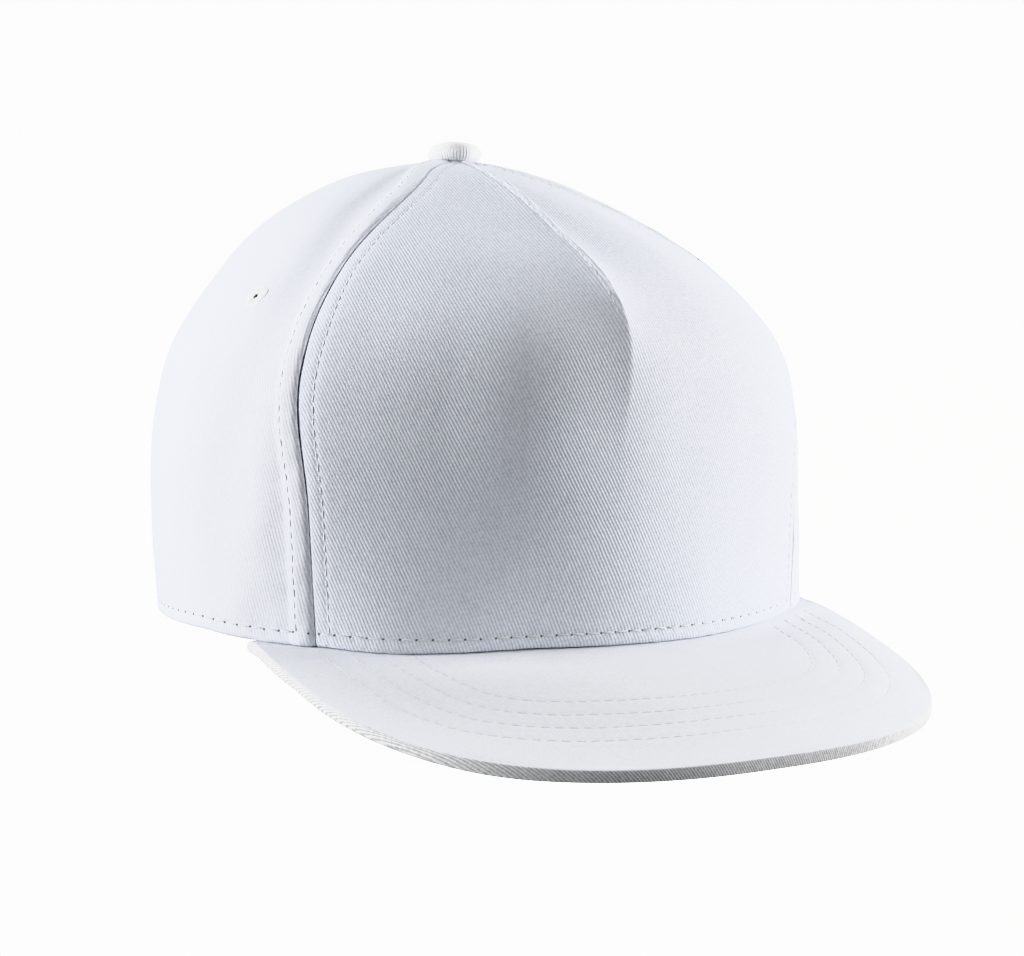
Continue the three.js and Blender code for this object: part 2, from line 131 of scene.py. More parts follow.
def bell(value: Array, width: float) -> Array:
    """A bell curve, 1 at 0 and about a third at the width."""
    return np.exp(-((value / width) ** 2))


def unit(rows: Array) -> Array:
    """Brings each row to a length of 1."""
    return rows / np.linalg.norm(rows, axis=1)[:, None]


def facing(normal: Vector) -> Array:
    """The turn that brings +Z to a normal."""
    return np.array(normal.to_track_quat("Z", "Y").to_matrix())


def deselect() -> None:
    """Leaves object mode with nothing selected."""
    if bpy.context.object and bpy.context.object.mode != "OBJECT":
        bpy.ops.object.mode_set(mode="OBJECT")
    bpy.ops.object.select_all(action="DESELECT")


def activate(piece: Piece) -> None:
    """Selects one piece alone and makes it active.

    Args:
        piece: the piece.
    """
    deselect()
    piece.select_set(True)
    bpy.context.view_layer.objects.active = piece


def primitive(add: Callable, name: str, **settings: object) -> Piece:
    """Adds a primitive.

    Args:
        add: the operator that adds it.
        name: name of the piece.
        settings: settings of the operator.

    Returns:
        The piece.
    """
    deselect()
    add(**settings)
    piece = bpy.context.object
    piece.name = piece.data.name = name
    return piece


def taken(model: Piece) -> tuple[Array, list]:
    """Takes a piece out of the scene, to be copied.

    Args:
        model: the piece.

    Returns:
        Its vertices, one in a row, and its faces.
    """
    points, faces = coordinates(model), [tuple(face.vertices) for face in model.data.polygons]
    bpy.data.objects.remove(model)
    return points, faces


def edit(piece: Piece, element: Element, chosen: Callable) -> None:
    """Enters edit mode with some of a piece's faces or edges selected.

    Args:
        piece: the piece.
        element: what is selected.
        chosen: says of one face or edge whether it is selected.
    """
    activate(piece)
    bpy.ops.object.mode_set(mode="EDIT")
    bpy.ops.mesh.select_mode(type=element.value)
    bpy.ops.mesh.select_all(action="DESELECT")
    bpy.ops.object.mode_set(mode="OBJECT")
    for part in piece.data.polygons if element is Element.FACE else piece.data.edges:
        part.select = bool(chosen(part))
    bpy.ops.object.mode_set(mode="EDIT")


def apply_modifier(piece: Piece, kind: str, **settings: object) -> None:
    """Adds a modifier and applies it.

    Args:
        piece: the piece.
        kind: type of the modifier.
        settings: its settings.
    """
    activate(piece)
    modifier = piece.modifiers.new(kind.lower(), kind)
    for key, value in settings.items():
        setattr(modifier, key, value)
    bpy.ops.object.modifier_apply(modifier=modifier.name)


def coordinates(piece: Piece) -> Array:
    """Reads a piece's vertices.

    Args:
        piece: the piece.

    Returns:
        One vertex in a row.
    """
    flat = np.empty(len(piece.data.vertices) * 3)
    piece.data.vertices.foreach_get("co", flat)
    return flat.reshape(-1, 3)


def move_to(piece: Piece, points: Array) -> None:
    """Moves the vertices of a piece to these points."""
    piece.data.vertices.foreach_set("co", np.ascontiguousarray(points, dtype=float).ravel())
    piece.data.update()


def lay_uv(piece: Piece, uv: Array) -> None:
    """Writes a UV map.

    Args:
        piece: the piece.
        uv: one pair of coordinates for each vertex.
    """
    layer = piece.data.uv_layers.active or piece.data.uv_layers.new(name="cloth")
    corner = np.empty(len(piece.data.loops), dtype=np.int32)
    piece.data.loops.foreach_get("vertex_index", corner)
    layer.data.foreach_set("uv", np.ascontiguousarray(uv[corner], dtype=float).ravel())


def add_grid(name: str, columns: int, rows: int) -> tuple[Piece, Array, Array]:
    """Adds a flat grid to be shaped.

    Args:
        name: name of the piece.
        columns: faces across.
        rows: faces up.

    Returns:
        The piece, and each vertex's share across and share up.
    """
    cuts = {"x_subdivisions": columns, "y_subdivisions": rows}
    piece = primitive(bpy.ops.mesh.primitive_grid_add, name, **cuts, size=1.0, calc_uvs=True)
    flat = coordinates(piece)
    return piece, flat[:, 0] + 0.5, flat[:, 1] + 0.5


def smooth(piece: Piece, angle: float = 50.0) -> None:
    """Shades a piece smooth, apart from edges sharper than an angle in degrees."""
    activate(piece)
    bpy.ops.object.shade_smooth_by_angle(angle=math.radians(angle))


def catmull(table: Array, share: Array) -> Array:
    """Runs smoothly through evenly spaced rows of a table.

    Args:
        table: one row for each station, one column for each quantity.
        share: where to read it, 0 at the first row and 1 at the last.

    Returns:
        One row of quantities for each share.
    """
    last = len(table) - 1
    place = np.clip(share, 0.0, 1.0) * last
    base = np.minimum(place.astype(int), last)
    part = (place - base)[:, None]
    before, here = table[np.maximum(base - 1, 0)], table[base]
    after, beyond = table[np.minimum(base + 1, last)], table[np.minimum(base + 2, last)]
    slope, next_slope = (after - before) / 2.0, (beyond - here) / 2.0
    square, cube = part * part, part**3
    return (
        (2 * here - 2 * after + slope + next_slope) * cube
        + (-3 * here + 3 * after - 2 * slope - next_slope) * square
        + slope * part
        + here
    )


# Form of the crown, as worn, in millimetres


@dataclass(frozen=True)
class Dent:
    """A soft hollow or swell: place, depth and width; drift is degrees of turn per unit of rise."""

    turn: float
    rise: float
    lift: float
    turn_spread: float
    rise_spread: float
    drift: float


@dataclass(frozen=True)
class CrownForm:
    """The crown's outer skin, in millimetres, and how the cap stands."""

    # height, front, side and back reach, roundness in front and behind:
    # begun by a separate program's fit to the outline, then changed
    sections: tuple = (
        (0, 71.2, 103, 94.6, 0.935, 1.04),
        (27, 71.8, 103.6, 95.9, 0.9, 1.01),
        (54, 73.4, 101.4, 95, 0.86, 0.98),
        (78.5, 73.4, 94, 92, 0.86, 0.97),
        (99, 56.6, 80, 85.5, 0.9, 0.97),
        (114, 33.4, 65.8, 76, 0.98, 0.97),
        (125, 11.4, 49, 64, 1.02, 0.97),
        (132.9, -8.4, 30.6, 48, 1.02, 0.97),
        (137.8, -22.4, 3.8, 29.7, 1, 1),
    )
    setback: float = 26.0
    # turn of the front seam and of the rear seam, in degrees
    seams: tuple = ((48.1, 113), (48.6, 114), (52.9, 115), (50.8, 115), (40.7, 113), (31.8, 111), (30, 108))
    left_shift: tuple = (0, 1, 3, 5, 6.5, 6, 2)
    ridge: tuple = ((0,), (0.1,), (0.3,), (2,), (3.9,), (2.2,), (1.7,), (1.5,), (0.6,), (0,))
    ridge_spread: tuple = (26, 26, 24, 18, 9, 9, 9, 9, 9, 9, 9)
    # how far the dart lies to the wearer's left of the middle, at even steps of rise
    dart_shift: tuple = (0, 0, 0.6, 2.4, 3.0, 1.7, 0.7, 0.2, 0, 0, 0)
    # height of the lower edge beside the peak, by distance ahead of the middle
    hem_ahead: tuple = (12, 20, 25, 30, 35, 39, 45, 50, 60)
    hem_drop: tuple = (0, -0.3, -0.9, -1.5, -1.9, -2.2, -2.6, -3.1, -4.0)
    dents: tuple = (
        Dent(-55, 0.56, -1.9, 4.5, 0.17, 31),
        Dent(-68, 0.17, -1.5, 6, 0.085, 20),
        Dent(-53.5, 0.17, -0.7, 2.6, 0.08, 4),
        Dent(-79, 0.3, 0.6, 6, 0.09, -45),
        Dent(-59, 0.04, -0.3, 2.2, 0.03, 0),
        Dent(-128, 0.3, -1.8, 9, 0.12, 30),
        Dent(60, 0.46, 0.4, 11, 0.15, -10),
        Dent(72, 0.2, -2.2, 8, 0.1, -25),
        Dent(98, 0.34, -1.0, 9, 0.1, 0),
        Dent(136, 0.28, -1.7, 9, 0.13, -30),
    )
    # the lower edge goes over from hanging to lying on the peak between these distances ahead of the middle
    landing: tuple = (46.0, 58.0)
    # how deep it lies in the peak's cover: at the middle, how much more at the side, and how far out that is
    sink: tuple = (0.6, 0.4, 60.0)
    # height up to which the cloth goes down with the lower edge
    drawn_down: float = 30.0
    # rise below which the cloth's lift is level
    level_below: float = 0.03
    # turn about X and shift that set the cap down on the floor
    tilt: float = -0.1165960991556858
    stand: tuple = (0.0859, 21.5969, 9.5854)

    def section(self, rise: Array) -> Array:
        """The section's height, reaches and roundness at each rise."""
        return catmull(np.array(self.sections, dtype=float), rise)

    def seam_turns(self, rise: Array) -> Array:
        """The turns of the front and the rear seam at each rise, in radians."""
        return np.radians(catmull(np.array(self.seams, dtype=float), rise))

    def crest(self, rise: Array) -> Array:
        """Height of the dart's ridge at each rise."""
        return catmull(np.array(self.ridge, dtype=float), rise)[:, 0]

    def dart_turn(self, rise: Array) -> Array:
        """The turn of the dart at each rise."""
        section = self.section(rise)
        return np.arcsin(np.clip(along_rise(self.dart_shift, rise) / section[:, 2], 0.0, 1.0) ** (1.0 / section[:, 4]))

    def hem_height(self, x: Array, forward: Array, gap: float) -> Array:
        """Height of the lower edge, which beside the peak hangs a little and on it lies on its face.

        Args:
            x: distances to the wearer's left of the middle.
            forward: distances ahead of the middle.
            gap: left between the lower edge and the peak.

        Returns:
            The height at each place.
        """
        over = settle(forward, *self.landing)
        least, more, side = self.sink
        sink = least + more * np.minimum(np.abs(x) / side, 1.0)
        hanging = np.interp(forward, self.hem_ahead, self.hem_drop)
        return (1.0 - over) * hanging + over * (PEAK.top(x, forward) - sink + gap)

    def skin(self, turn: Array, rise: Array) -> Array:
        """The smooth skin.

        Args:
            turn: turn of each point.
            rise: rise of each point.

        Returns:
            One point in a row.
        """
        height, front, side, back, front_round, back_round = self.section(rise).T
        axis = self.setback * np.clip(height / self.sections[-1][0], 0.0, 1.0)
        ahead = np.cos(turn) > 0
        roundness = np.where(ahead, front_round, back_round)
        reach = np.where(ahead, front + axis, back - axis)
        forward = reach * power(np.cos(turn), roundness) - axis
        return np.stack([side * power(np.sin(turn), roundness), -forward, height], axis=1)

    def step_round(self, turn: Array, rise: Array) -> tuple[Array, Array]:
        """How the skin runs round the crown.

        Args:
            turn: turn of each point.
            rise: rise of each point.

        Returns:
            The direction at each point, and millimetres for a radian of turn.
        """
        step = 0.01
        along = self.skin(turn + step, rise) - self.skin(turn - step, rise)
        length = np.linalg.norm(along, axis=1)
        return along / length[:, None], length / (2.0 * step)

    def normal(self, turn: Array, rise: Array) -> Array:
        """Outward normals of the smooth skin, level at the lower edge.

        Args:
            turn: turn of each point.
            rise: rise of each point.

        Returns:
            One normal in a row.
        """
        step = 0.004
        low, high = np.maximum(rise - step, 0.0), np.minimum(rise + step, 1.0)
        along = self.skin(turn + step, rise) - self.skin(turn - step, rise)
        up = self.skin(turn, high) - self.skin(turn, low)
        normal = np.cross(along, up)
        normal[:, 2] *= settle(rise, 0.0, self.level_below)
        return unit(normal)

    def dent_lift(self, turn: Array, rise: Array) -> Array:
        """How far the dents and swells move the skin outwards.

        Args:
            turn: turn of each point.
            rise: rise of each point.

        Returns:
            The lift of each point.
        """
        lift = np.zeros_like(turn)
        for dent in self.dents:
            middle = np.radians(dent.turn + dent.drift * (rise - dent.rise))
            across = (turn - middle) / math.radians(dent.turn_spread)
            along = (rise - dent.rise) / dent.rise_spread
            lift += dent.lift * np.exp(-(across**2 + along**2) / 2.0)
        return lift

    def point(self, turn: Array, rise: Array, lift: Array | float, gap: float) -> Array:
        """Points at a lift from the dented skin, let down on the peak.

        Args:
            turn: turn of each point.
            rise: rise of each point.
            lift: distance outwards from the dented skin.
            gap: left between the lower edge and the peak.

        Returns:
            One point in a row.
        """
        out = (lift + self.dent_lift(turn, rise))[:, None]
        points = self.skin(turn, rise) + self.normal(turn, rise) * out
        forward = -points[:, 1]
        fade = np.clip(1.0 - points[:, 2] / self.drawn_down, 0.0, 1.0) ** 2
        points[:, 2] += fade * self.hem_height(points[:, 0], forward, gap)
        return points

    def placed(self, points: Array) -> Array:
        """Sets points down on the floor.

        Args:
            points: as worn, in millimetres.

        Returns:
            The points as the cap stands, in metres.
        """
        cosine, sine = math.cos(self.tilt), math.sin(self.tilt)
        turned = points @ np.array([[1, 0, 0], [0, cosine, sine], [0, -sine, cosine]])
        return (turned + np.array(self.stand)) * MM

    def turn_at_back(self, half_width: Array, rise: Array) -> Array:
        """The turn, on the wearer's left, at a distance from the middle of the back."""
        section = self.section(rise)
        return np.pi - np.arcsin(np.clip(half_width / section[:, 2], 0.0, 1.0) ** (1.0 / section[:, 5]))

    def rise_at(self, height: Array) -> Array:
        """The rise of each height above the lower edge."""
        samples = np.linspace(0.0, 1.0, 400)
        return np.interp(height, self.section(samples)[:, 0], samples)

    def edge_turn(self, edge: Edge, rise: Array) -> Array:
        """Where an edge between two panels runs.

        Args:
            edge: the edge.
            rise: where to read it.

        Returns:
            Its turn at each rise.
        """
        side, column = edge.value
        if edge.at_back:
            return np.full_like(rise, side * np.pi)
        shift = np.radians(along_rise(self.left_shift, rise)) if edge is Edge.LEFT_FRONT else 0.0
        return side * self.seam_turns(rise)[:, column] + shift

    def arc(self, start: Array, end: Array, fixed: Array, across: bool) -> Array:
        """Length over the skin between two turns at one rise, or between two rises at one turn.

        Args:
            start: turn or rise where each length starts.
            end: turn or rise where it ends.
            fixed: the rise or turn that it is measured along.
            across: True to measure round the crown, False to measure up it.

        Returns:
            Signed lengths in millimetres.
        """
        steps = 14
        total = np.zeros_like(start)
        last = None
        for i in range(steps + 1):
            moving = start + (end - start) * i / steps
            here = self.skin(moving, fixed) if across else self.skin(fixed, moving)
            if last is not None:
                total += np.linalg.norm(here - last, axis=1)
            last = here
        return total * np.sign(end - start)


@dataclass(frozen=True)
class PeakForm:
    """The peak's outline and its gently bent upper face, in millimetres."""

    depth: float = 70.6
    half_width: float = 93.2
    root: float = 39.1
    pitch: float = math.radians(15.55)
    bend: float = 6.5e-4
    bend_half: float = 86.0
    askew: float = math.radians(2.3)
    side_round: float = 0.864
    front_round: float = 0.643

    def top(self, x: Array, forward: Array) -> Array:
        """Height of the upper face."""
        return self.bend * (self.bend_half**2 - x * x) - (forward - self.root) * math.tan(self.pitch)

    def edge(self, across: Array, front: float) -> Array:
        """The outline on plan.

        Args:
            across: runs from -1 at the wearer's right corner to 1 at the left.
            front: reach of the crown's lower edge in front.

        Returns:
            One place in a row.
        """
        angle = across * np.pi / 2.0
        reach = front + self.depth - self.root
        x = self.half_width * power(np.sin(angle), self.side_round)
        forward = self.root + reach * np.maximum(np.cos(angle), 0.0) ** self.front_round
        cosine, sine = math.cos(-self.askew), math.sin(-self.askew)
        return np.stack([x * cosine - forward * sine, x * sine + forward * cosine], axis=1)


PEAK = PeakForm()
CROWN = CrownForm()


# Finishes


class Nodes:
    """Writes the nodes of one tree."""

    def __init__(self, tree: bpy.types.NodeTree) -> None:
        """Takes the tree to write in."""
        self.tree = tree

    def feed(self, node: bpy.types.Node, inputs: dict) -> bpy.types.Node:
        """Sets or links the inputs of a node.

        Args:
            node: the node.
            inputs: a value or an output socket for each input, by its name or number.

        Returns:
            The node.
        """
        for key, value in inputs.items():
            if isinstance(value, Socket):
                self.tree.links.new(value, node.inputs[key])
            else:
                node.inputs[key].default_value = value
        return node

    def add(self, kind: str, inputs: dict | None = None, **settings: object) -> bpy.types.Node:
        """Adds a node.

        Args:
            kind: its type, without the leading "ShaderNode".
            inputs: a value or an output socket for each input, by its name or number.
            settings: its other settings.

        Returns:
            The node.
        """
        node = self.tree.nodes.new("ShaderNode" + kind)
        for key, value in settings.items():
            setattr(node, key, value)
        return self.feed(node, inputs or {})

    def math(self, operation: str, *terms: object) -> Socket:
        """The result of a Math node with these terms."""
        return self.add("Math", dict(enumerate(terms)), operation=operation).outputs[0]

    def mix(self, share: Socket, low: tuple, high: tuple) -> Socket:
        """A mix of two colours."""
        return self.add("Mix", {0: share, 6: (*low, 1.0), 7: (*high, 1.0)}, data_type="RGBA").outputs[2]

    def noise(self, place: Socket, scale: float, detail: float = 2.0) -> Socket:
        """Noise from 0 to 1."""
        return self.add("TexNoise", {"Vector": place, "Scale": scale, "Detail": detail}).outputs["Fac"]

    def bump(self, height: Socket, depth: float) -> Socket:
        """The normal of a face with this height on it."""
        return self.add("Bump", {"Height": height, "Distance": depth}).outputs["Normal"]

    def place(self, kind: str) -> Socket:
        """The shaded point in one kind of coordinates."""
        return self.add("TexCoord").outputs[kind]


@dataclass(frozen=True)
class Finish:
    """A material that is built once and shared."""

    name: str
    colour: tuple
    roughness: float

    def material(self) -> bpy.types.Material:
        """Builds the material, or finds the one already built.

        Returns:
            The material.
        """
        if self.name in bpy.data.materials:
            return bpy.data.materials[self.name]
        material = bpy.data.materials.new(self.name)
        material.use_nodes = True
        nodes = Nodes(material.node_tree)
        nodes.feed(material.node_tree.nodes["Principled BSDF"], self.look(nodes))
        return material

    def look(self, nodes: Nodes) -> dict:
        """What goes into the shader's inputs."""
        raise NotImplementedError


@dataclass(frozen=True)
class TwillFinish(Finish):
    """Cotton twill: its colour, ribs that lean across the cloth, and painted shade in the grooves between them."""

    name: str = "white_twill"
    colour: tuple = (0.83, 0.86, 0.925)
    roughness: float = 0.92
    # painted shade: the colour that the grooves between ribs and floats are darkened to
    groove_shade: tuple = (0.41, 0.45, 0.54)
    rib_spacing: float = 0.94 * MM
    rib_angle: float = math.radians(60.8)
    rib_depth: float = 0.085 * MM
    sheen: float = 0.12
    sheen_roughness: float = 0.5
    gloss: float = 0.25

    def look(self, nodes: Nodes) -> dict:
        """Weaves the twill.

        Args:
            nodes: the material's nodes.

        Returns:
            What goes into the shader's inputs.
        """
        lies = {"Cloth": nodes.place("UV"), "Place": nodes.place("Object")}
        lies |= {"Spacing": self.rib_spacing, "Angle": self.rib_angle}
        weave = nodes.add("Group", lies, node_tree=twill_group()).outputs
        return {
            # painted shade: the weave's Shade darkens the grooves between ribs and floats
            "Base Color": nodes.mix(weave["Shade"], self.groove_shade, self.colour),
            "Normal": nodes.bump(weave["Height"], self.rib_depth),
            "Roughness": self.roughness,
            "Sheen Weight": self.sheen,
            "Sheen Roughness": self.sheen_roughness,
            "Specular IOR Level": self.gloss,
        }


@dataclass(frozen=True)
class ThreadFinish(Finish):
    """Spun thread: fine twisted strands on a matt white."""

    name: str = "white_thread"
    colour: tuple = (0.84, 0.85, 0.87)
    roughness: float = 0.8
    dark: tuple = (0.62, 0.64, 0.68)
    strand: float = 1500.0
    depth: float = 0.06 * MM

    def look(self, nodes: Nodes) -> dict:
        """Spins the strands.

        Args:
            nodes: the material's nodes.

        Returns:
            What goes into the shader's inputs.
        """
        strands = nodes.noise(nodes.place("Object"), self.strand)
        return {
            "Base Color": nodes.mix(strands, self.dark, self.colour),
            "Normal": nodes.bump(strands, self.depth),
            "Roughness": self.roughness,
        }


@dataclass(frozen=True)
class PlasticFinish(Finish):
    """Moulded plastic with a fine satin grain."""

    name: str = "strap_plastic"
    colour: tuple = (0.82, 0.83, 0.845)
    roughness: float = 0.42
    unevenness: float = 0.06
    grain: float = 900.0
    depth: float = 0.02 * MM
    milkiness: float = 0.1

    def look(self, nodes: Nodes) -> dict:
        """Moulds the grain.

        Args:
            nodes: the material's nodes.

        Returns:
            What goes into the shader's inputs.
        """
        grain = nodes.noise(nodes.place("Object"), self.grain)
        least, most = self.roughness - self.unevenness, self.roughness + self.unevenness
        return {
            "Base Color": (*self.colour, 1.0),
            "Subsurface Weight": self.milkiness,
            "Subsurface Scale": 1.0 * MM,
            "Roughness": nodes.add("MapRange", {"Value": grain, "To Min": least, "To Max": most}).outputs["Result"],
            "Normal": nodes.bump(grain, self.depth),
        }


@dataclass(frozen=True)
class FloorFinish(Finish):
    """A floor that the camera sees pale and lit, and that throws little light on the cap."""

    name: str = "pale_floor"
    colour: tuple = (0.9, 0.905, 0.91)
    roughness: float = 0.95
    unseen: tuple = (0.12, 0.121, 0.122)
    glow: float = 3.0

    def look(self, nodes: Nodes) -> dict:
        """Tells the camera's rays from the others.

        Args:
            nodes: the material's nodes.

        Returns:
            What goes into the shader's inputs.
        """
        seen = nodes.add("LightPath").outputs["Is Camera Ray"]
        return {
            "Base Color": nodes.mix(seen, self.unseen, self.colour),
            "Emission Color": (1.0, 1.0, 1.0, 1.0),
            "Emission Strength": nodes.math("MULTIPLY", seen, self.glow),
            "Roughness": self.roughness,
        }


def twill_group() -> bpy.types.NodeTree:
    """The weave of twill: ribs of short floats, with uneven yarn and a little fluff.

    Returns:
        A group from the cloth's own coordinates to Height and Shade, both 0 to 1; Shade is low where painted shade
        falls in the grooves between ribs and floats, and carries the yarn's random tone.
    """
    name = "twill_weave"
    if name in bpy.data.node_groups:
        return bpy.data.node_groups[name]
    tree = bpy.data.node_groups.new(name, "ShaderNodeTree")
    sockets = {"INPUT": ("Cloth", "Place", "Spacing", "Angle"), "OUTPUT": ("Height", "Shade")}
    for way, titles in sockets.items():
        for title in titles:
            kind = "NodeSocketVector" if title in ("Cloth", "Place") else "NodeSocketFloat"
            tree.interface.new_socket(title, in_out=way, socket_type=kind)
    nodes = Nodes(tree)
    sums = nodes.math
    given = tree.nodes.new("NodeGroupInput").outputs
    x, y = nodes.add("SeparateXYZ", {0: given["Cloth"]}).outputs[:2]
    sine, cosine = sums("SINE", given["Angle"]), sums("COSINE", given["Angle"])
    across = sums("ADD", sums("MULTIPLY", x, sine), sums("MULTIPLY", y, cosine))
    along = sums("SUBTRACT", sums("MULTIPLY", y, sine), sums("MULTIPLY", x, cosine))

    # ribs that wander a little, counted across the cloth
    wander = sums("MULTIPLY", nodes.noise(given["Place"], 160.0, 1.0), 0.3)
    ribs = sums("ADD", sums("DIVIDE", across, given["Spacing"]), wander)
    wave = sums("MULTIPLY_ADD", sums("COSINE", sums("MULTIPLY", ribs, math.tau)), 0.5, 0.5)
    wave = sums("POWER", wave, 0.75)

    # floats along each rib, a little longer than the ribs are apart and shifted from one rib to the next
    floats = sums("DIVIDE", along, sums("MULTIPLY", given["Spacing"], 1.1))
    floats = sums("ADD", floats, sums("MULTIPLY", sums("FLOOR", sums("ADD", ribs, 0.5)), 0.37))
    yarn = sums("MULTIPLY_ADD", sums("COSINE", sums("MULTIPLY", floats, math.tau)), 0.5, 0.5)

    # unevenness of the yarn, in both the height and the shade; the ribs and floats in the shade are painted shade in
    # the grooves, the slub is random yarn tone
    slub = nodes.noise(given["Place"], 1150.0, 3.0)
    height = sums("MULTIPLY", wave, sums("MULTIPLY_ADD", yarn, 0.22, 0.78))
    height = sums("ADD", sums("MULTIPLY", height, 0.8), sums("MULTIPLY", slub, 0.35))
    shade = sums("MULTIPLY_ADD", sums("MULTIPLY", wave, sums("MULTIPLY_ADD", yarn, 0.26, 0.7)), 0.64, 0.3)
    shade = sums("ADD", shade, sums("MULTIPLY_ADD", slub, 0.85, -0.305))
    shade = sums("MINIMUM", sums("MAXIMUM", shade, 0.0), 1.0)
    nodes.feed(tree.nodes.new("NodeGroupOutput"), {"Height": height, "Shade": shade})
    return tree


def dress(piece: Piece, finish: Finish, slot: str, *nodes: str) -> None:
    """Gives a piece its finish and its place on the cap.

    Args:
        piece: the piece.
        finish: its finish.
        slot: name of its slot, which is not used.
        nodes: the nodes that it stands for, which are hidden.
    """
    piece.data.materials.clear()
    piece.data.materials.append(finish.material())
    if nodes:
        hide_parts(*nodes)
    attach(piece, BODY)
    log.info("%s: %d faces", piece.name, len(piece.data.polygons))


class Surface:
    """A finished outer face that stitches are sewn to."""

    def __init__(self, piece: Piece) -> None:
        """Takes the faces of a piece as they are now."""
        self.tree = BVHTree.FromObject(piece, bpy.context.evaluated_depsgraph_get())

    def drop(self, points: Array) -> tuple[Array, Array]:
        """The nearest point of the face, and its normal, for each of these points."""
        hits = [self.tree.find_nearest(Vector(point)) for point in points]
        return np.array([hit[0] for hit in hits]), np.array([hit[1] for hit in hits])


class Sampled:
    """A line over the cap, sampled closely, that distances are measured from."""

    def __init__(self, points: Array) -> None:
        """Takes the line.

        Args:
            points: the line's points, in order.
        """
        self.points = points
        steps = np.linalg.norm(np.diff(points, axis=0), axis=1)
        self.lengths = np.concatenate([[0.0], np.cumsum(steps)])
        self.tree = KDTree(len(points))
        for i, point in enumerate(points):
            self.tree.insert(point, i)
        self.tree.balance()

    def near(self, points: Array) -> tuple[Array, Array]:
        """Each point's distance from the line, and how far along the line its nearest point is."""
        hits = [self.tree.find(point) for point in points]
        return np.array([hit[2] for hit in hits]), self.lengths[[hit[1] for hit in hits]]

    def every(self, pitch: float, start: float = 0.0) -> Array:
        """Points of the line at an even pitch."""
        stations = np.arange(start, self.lengths[-1], pitch)
        return np.stack([np.interp(stations, self.lengths, self.points[:, i]) for i in range(3)], axis=1)


# Stitches


@dataclass(frozen=True)
class Stitching:
    """Rows of stitches, each one short thread that dips into the cloth at both ends."""

    width: float = 0.46 * MM
    height: float = 0.3 * MM
    gap: float = 0.75 * MM
    hole: float = 0.32 * MM
    # how far a stitch stands out and its ends dip, as shares of its height
    stand: float = 0.22
    dip: float = 0.55
    # spread of the stitches' slant and of their length
    slant: float = 0.07
    unevenness: float = 0.04
    finish: ThreadFinish = ThreadFinish()
    # painted shade: dark discs that stand in for the shade inside the needle holes
    shadow: ThreadFinish = ThreadFinish("needle_hole_shade", (0.2, 0.21, 0.24), dark=(0.1, 0.11, 0.13))

    def template(self) -> tuple[Array, list]:
        """Shapes one stitch.

        Returns:
            Its vertices, of unit length along X, and its faces.
        """
        sizes = {"segments": 8, "ring_count": 7, "radius": 0.5, "rotation": (0.0, math.pi / 2, 0.0)}
        model = primitive(bpy.ops.mesh.primitive_uv_sphere_add, "stitch_model", **sizes)
        bpy.ops.object.transform_apply(location=False, rotation=True, scale=False)
        points, faces = taken(model)
        points[:, 0] = 0.5 * power(points[:, 0] / 0.5, 0.75)
        return points, faces

    def sew(self, name: str, line: Sampled, surface: Surface, pitch: float, seed: int) -> None:
        """Sews one row.

        Args:
            name: name of the piece.
            line: the row's line, close to the surface.
            surface: the cloth that it lies on.
            pitch: from one stitch to the next.
            seed: start of the small unevenness.
        """
        chance = np.random.default_rng(seed)
        model, faces = self.template()
        here, normals = surface.drop(line.every(pitch))
        copies: list = []
        for i in range(len(here) - 1):
            step = here[i + 1] - here[i]
            length = np.linalg.norm(step)
            if not 0.4 * pitch < length < 1.6 * pitch:
                continue
            forward = step / length
            normal = normals[i] + normals[i + 1]
            normal /= np.linalg.norm(normal)
            side = np.cross(normal, forward)
            side /= np.linalg.norm(side)
            normal = np.cross(forward, side)
            slant = chance.normal(0.0, self.slant)
            reach = (length - self.gap) * (1.0 + chance.normal(0.0, self.unevenness))
            local = model * np.array([reach, self.width, self.height])
            local[:, 1] += slant * local[:, 0]
            sag = self.height * self.dip * (2.0 * model[:, 0]) ** 4
            local[:, 2] += self.height * self.stand - sag
            middle = (here[i] + here[i + 1]) / 2.0
            copies.append(middle + local[:, :1] * forward + local[:, 1:2] * side + local[:, 2:3] * normal)
        self.collect(name, copies, faces, self.finish)

    def shade_holes(self, name: str, line: Sampled, surface: Surface, pitch: float) -> None:
        """Adds painted shade for the needle holes between the stitches of a row: dark shallow discs on the cloth.

        Args:
            name: name of the piece.
            line: the row's line, close to the surface.
            surface: the cloth that it lies on.
            pitch: from one hole to the next.
        """
        sizes = {"vertices": 8, "radius": self.hole, "fill_type": "TRIFAN"}
        disc, faces = taken(primitive(bpy.ops.mesh.primitive_circle_add, "hole_model", **sizes))
        proud = 0.05
        copies: list = []
        for middle, normal in zip(*surface.drop(line.every(pitch))):
            copies.append(disc @ facing(Vector(normal)).T + middle + normal * proud * MM)
        self.collect(name, copies, faces, self.shadow)

    def collect(self, name: str, copies: list, faces: list, finish: ThreadFinish) -> None:
        """Makes one piece of many copies and dresses it.

        Args:
            name: name of the piece.
            copies: the vertices of each copy.
            faces: the faces of one copy.
            finish: its finish.
        """
        count = len(copies[0])
        polygons = [tuple(i * count + k for k in face) for i in range(len(copies)) for face in faces]
        mesh = bpy.data.meshes.new(name)
        mesh.from_pydata([tuple(point) for copy in copies for point in copy], [], polygons)
        piece = bpy.data.objects.new(name, mesh)
        bpy.context.scene.collection.objects.link(piece)
        smooth(piece, 80.0)
        dress(piece, finish, "eyelet_thread")


# Crown


@dataclass
class Panel:
    """One panel of the crown: its edges as seen from outside, its grid, and the allowance raised beside one edge."""

    name: str
    left: Edge
    right: Edge
    columns: int
    rows: int
    wall: float = 1.8
    band: Edge | None = None
    band_lift: float = 0.0
    crowding: float = 0.55

    @property
    def front(self) -> bool:
        """Whether it is the stiffened front panel."""
        return self.name == "front_panel"

    def bounds(self, rise: Array) -> tuple[Array, Array]:
        """The turns of its left and its right edge at each rise."""
        return CROWN.edge_turn(self.left, rise), CROWN.edge_turn(self.right, rise)


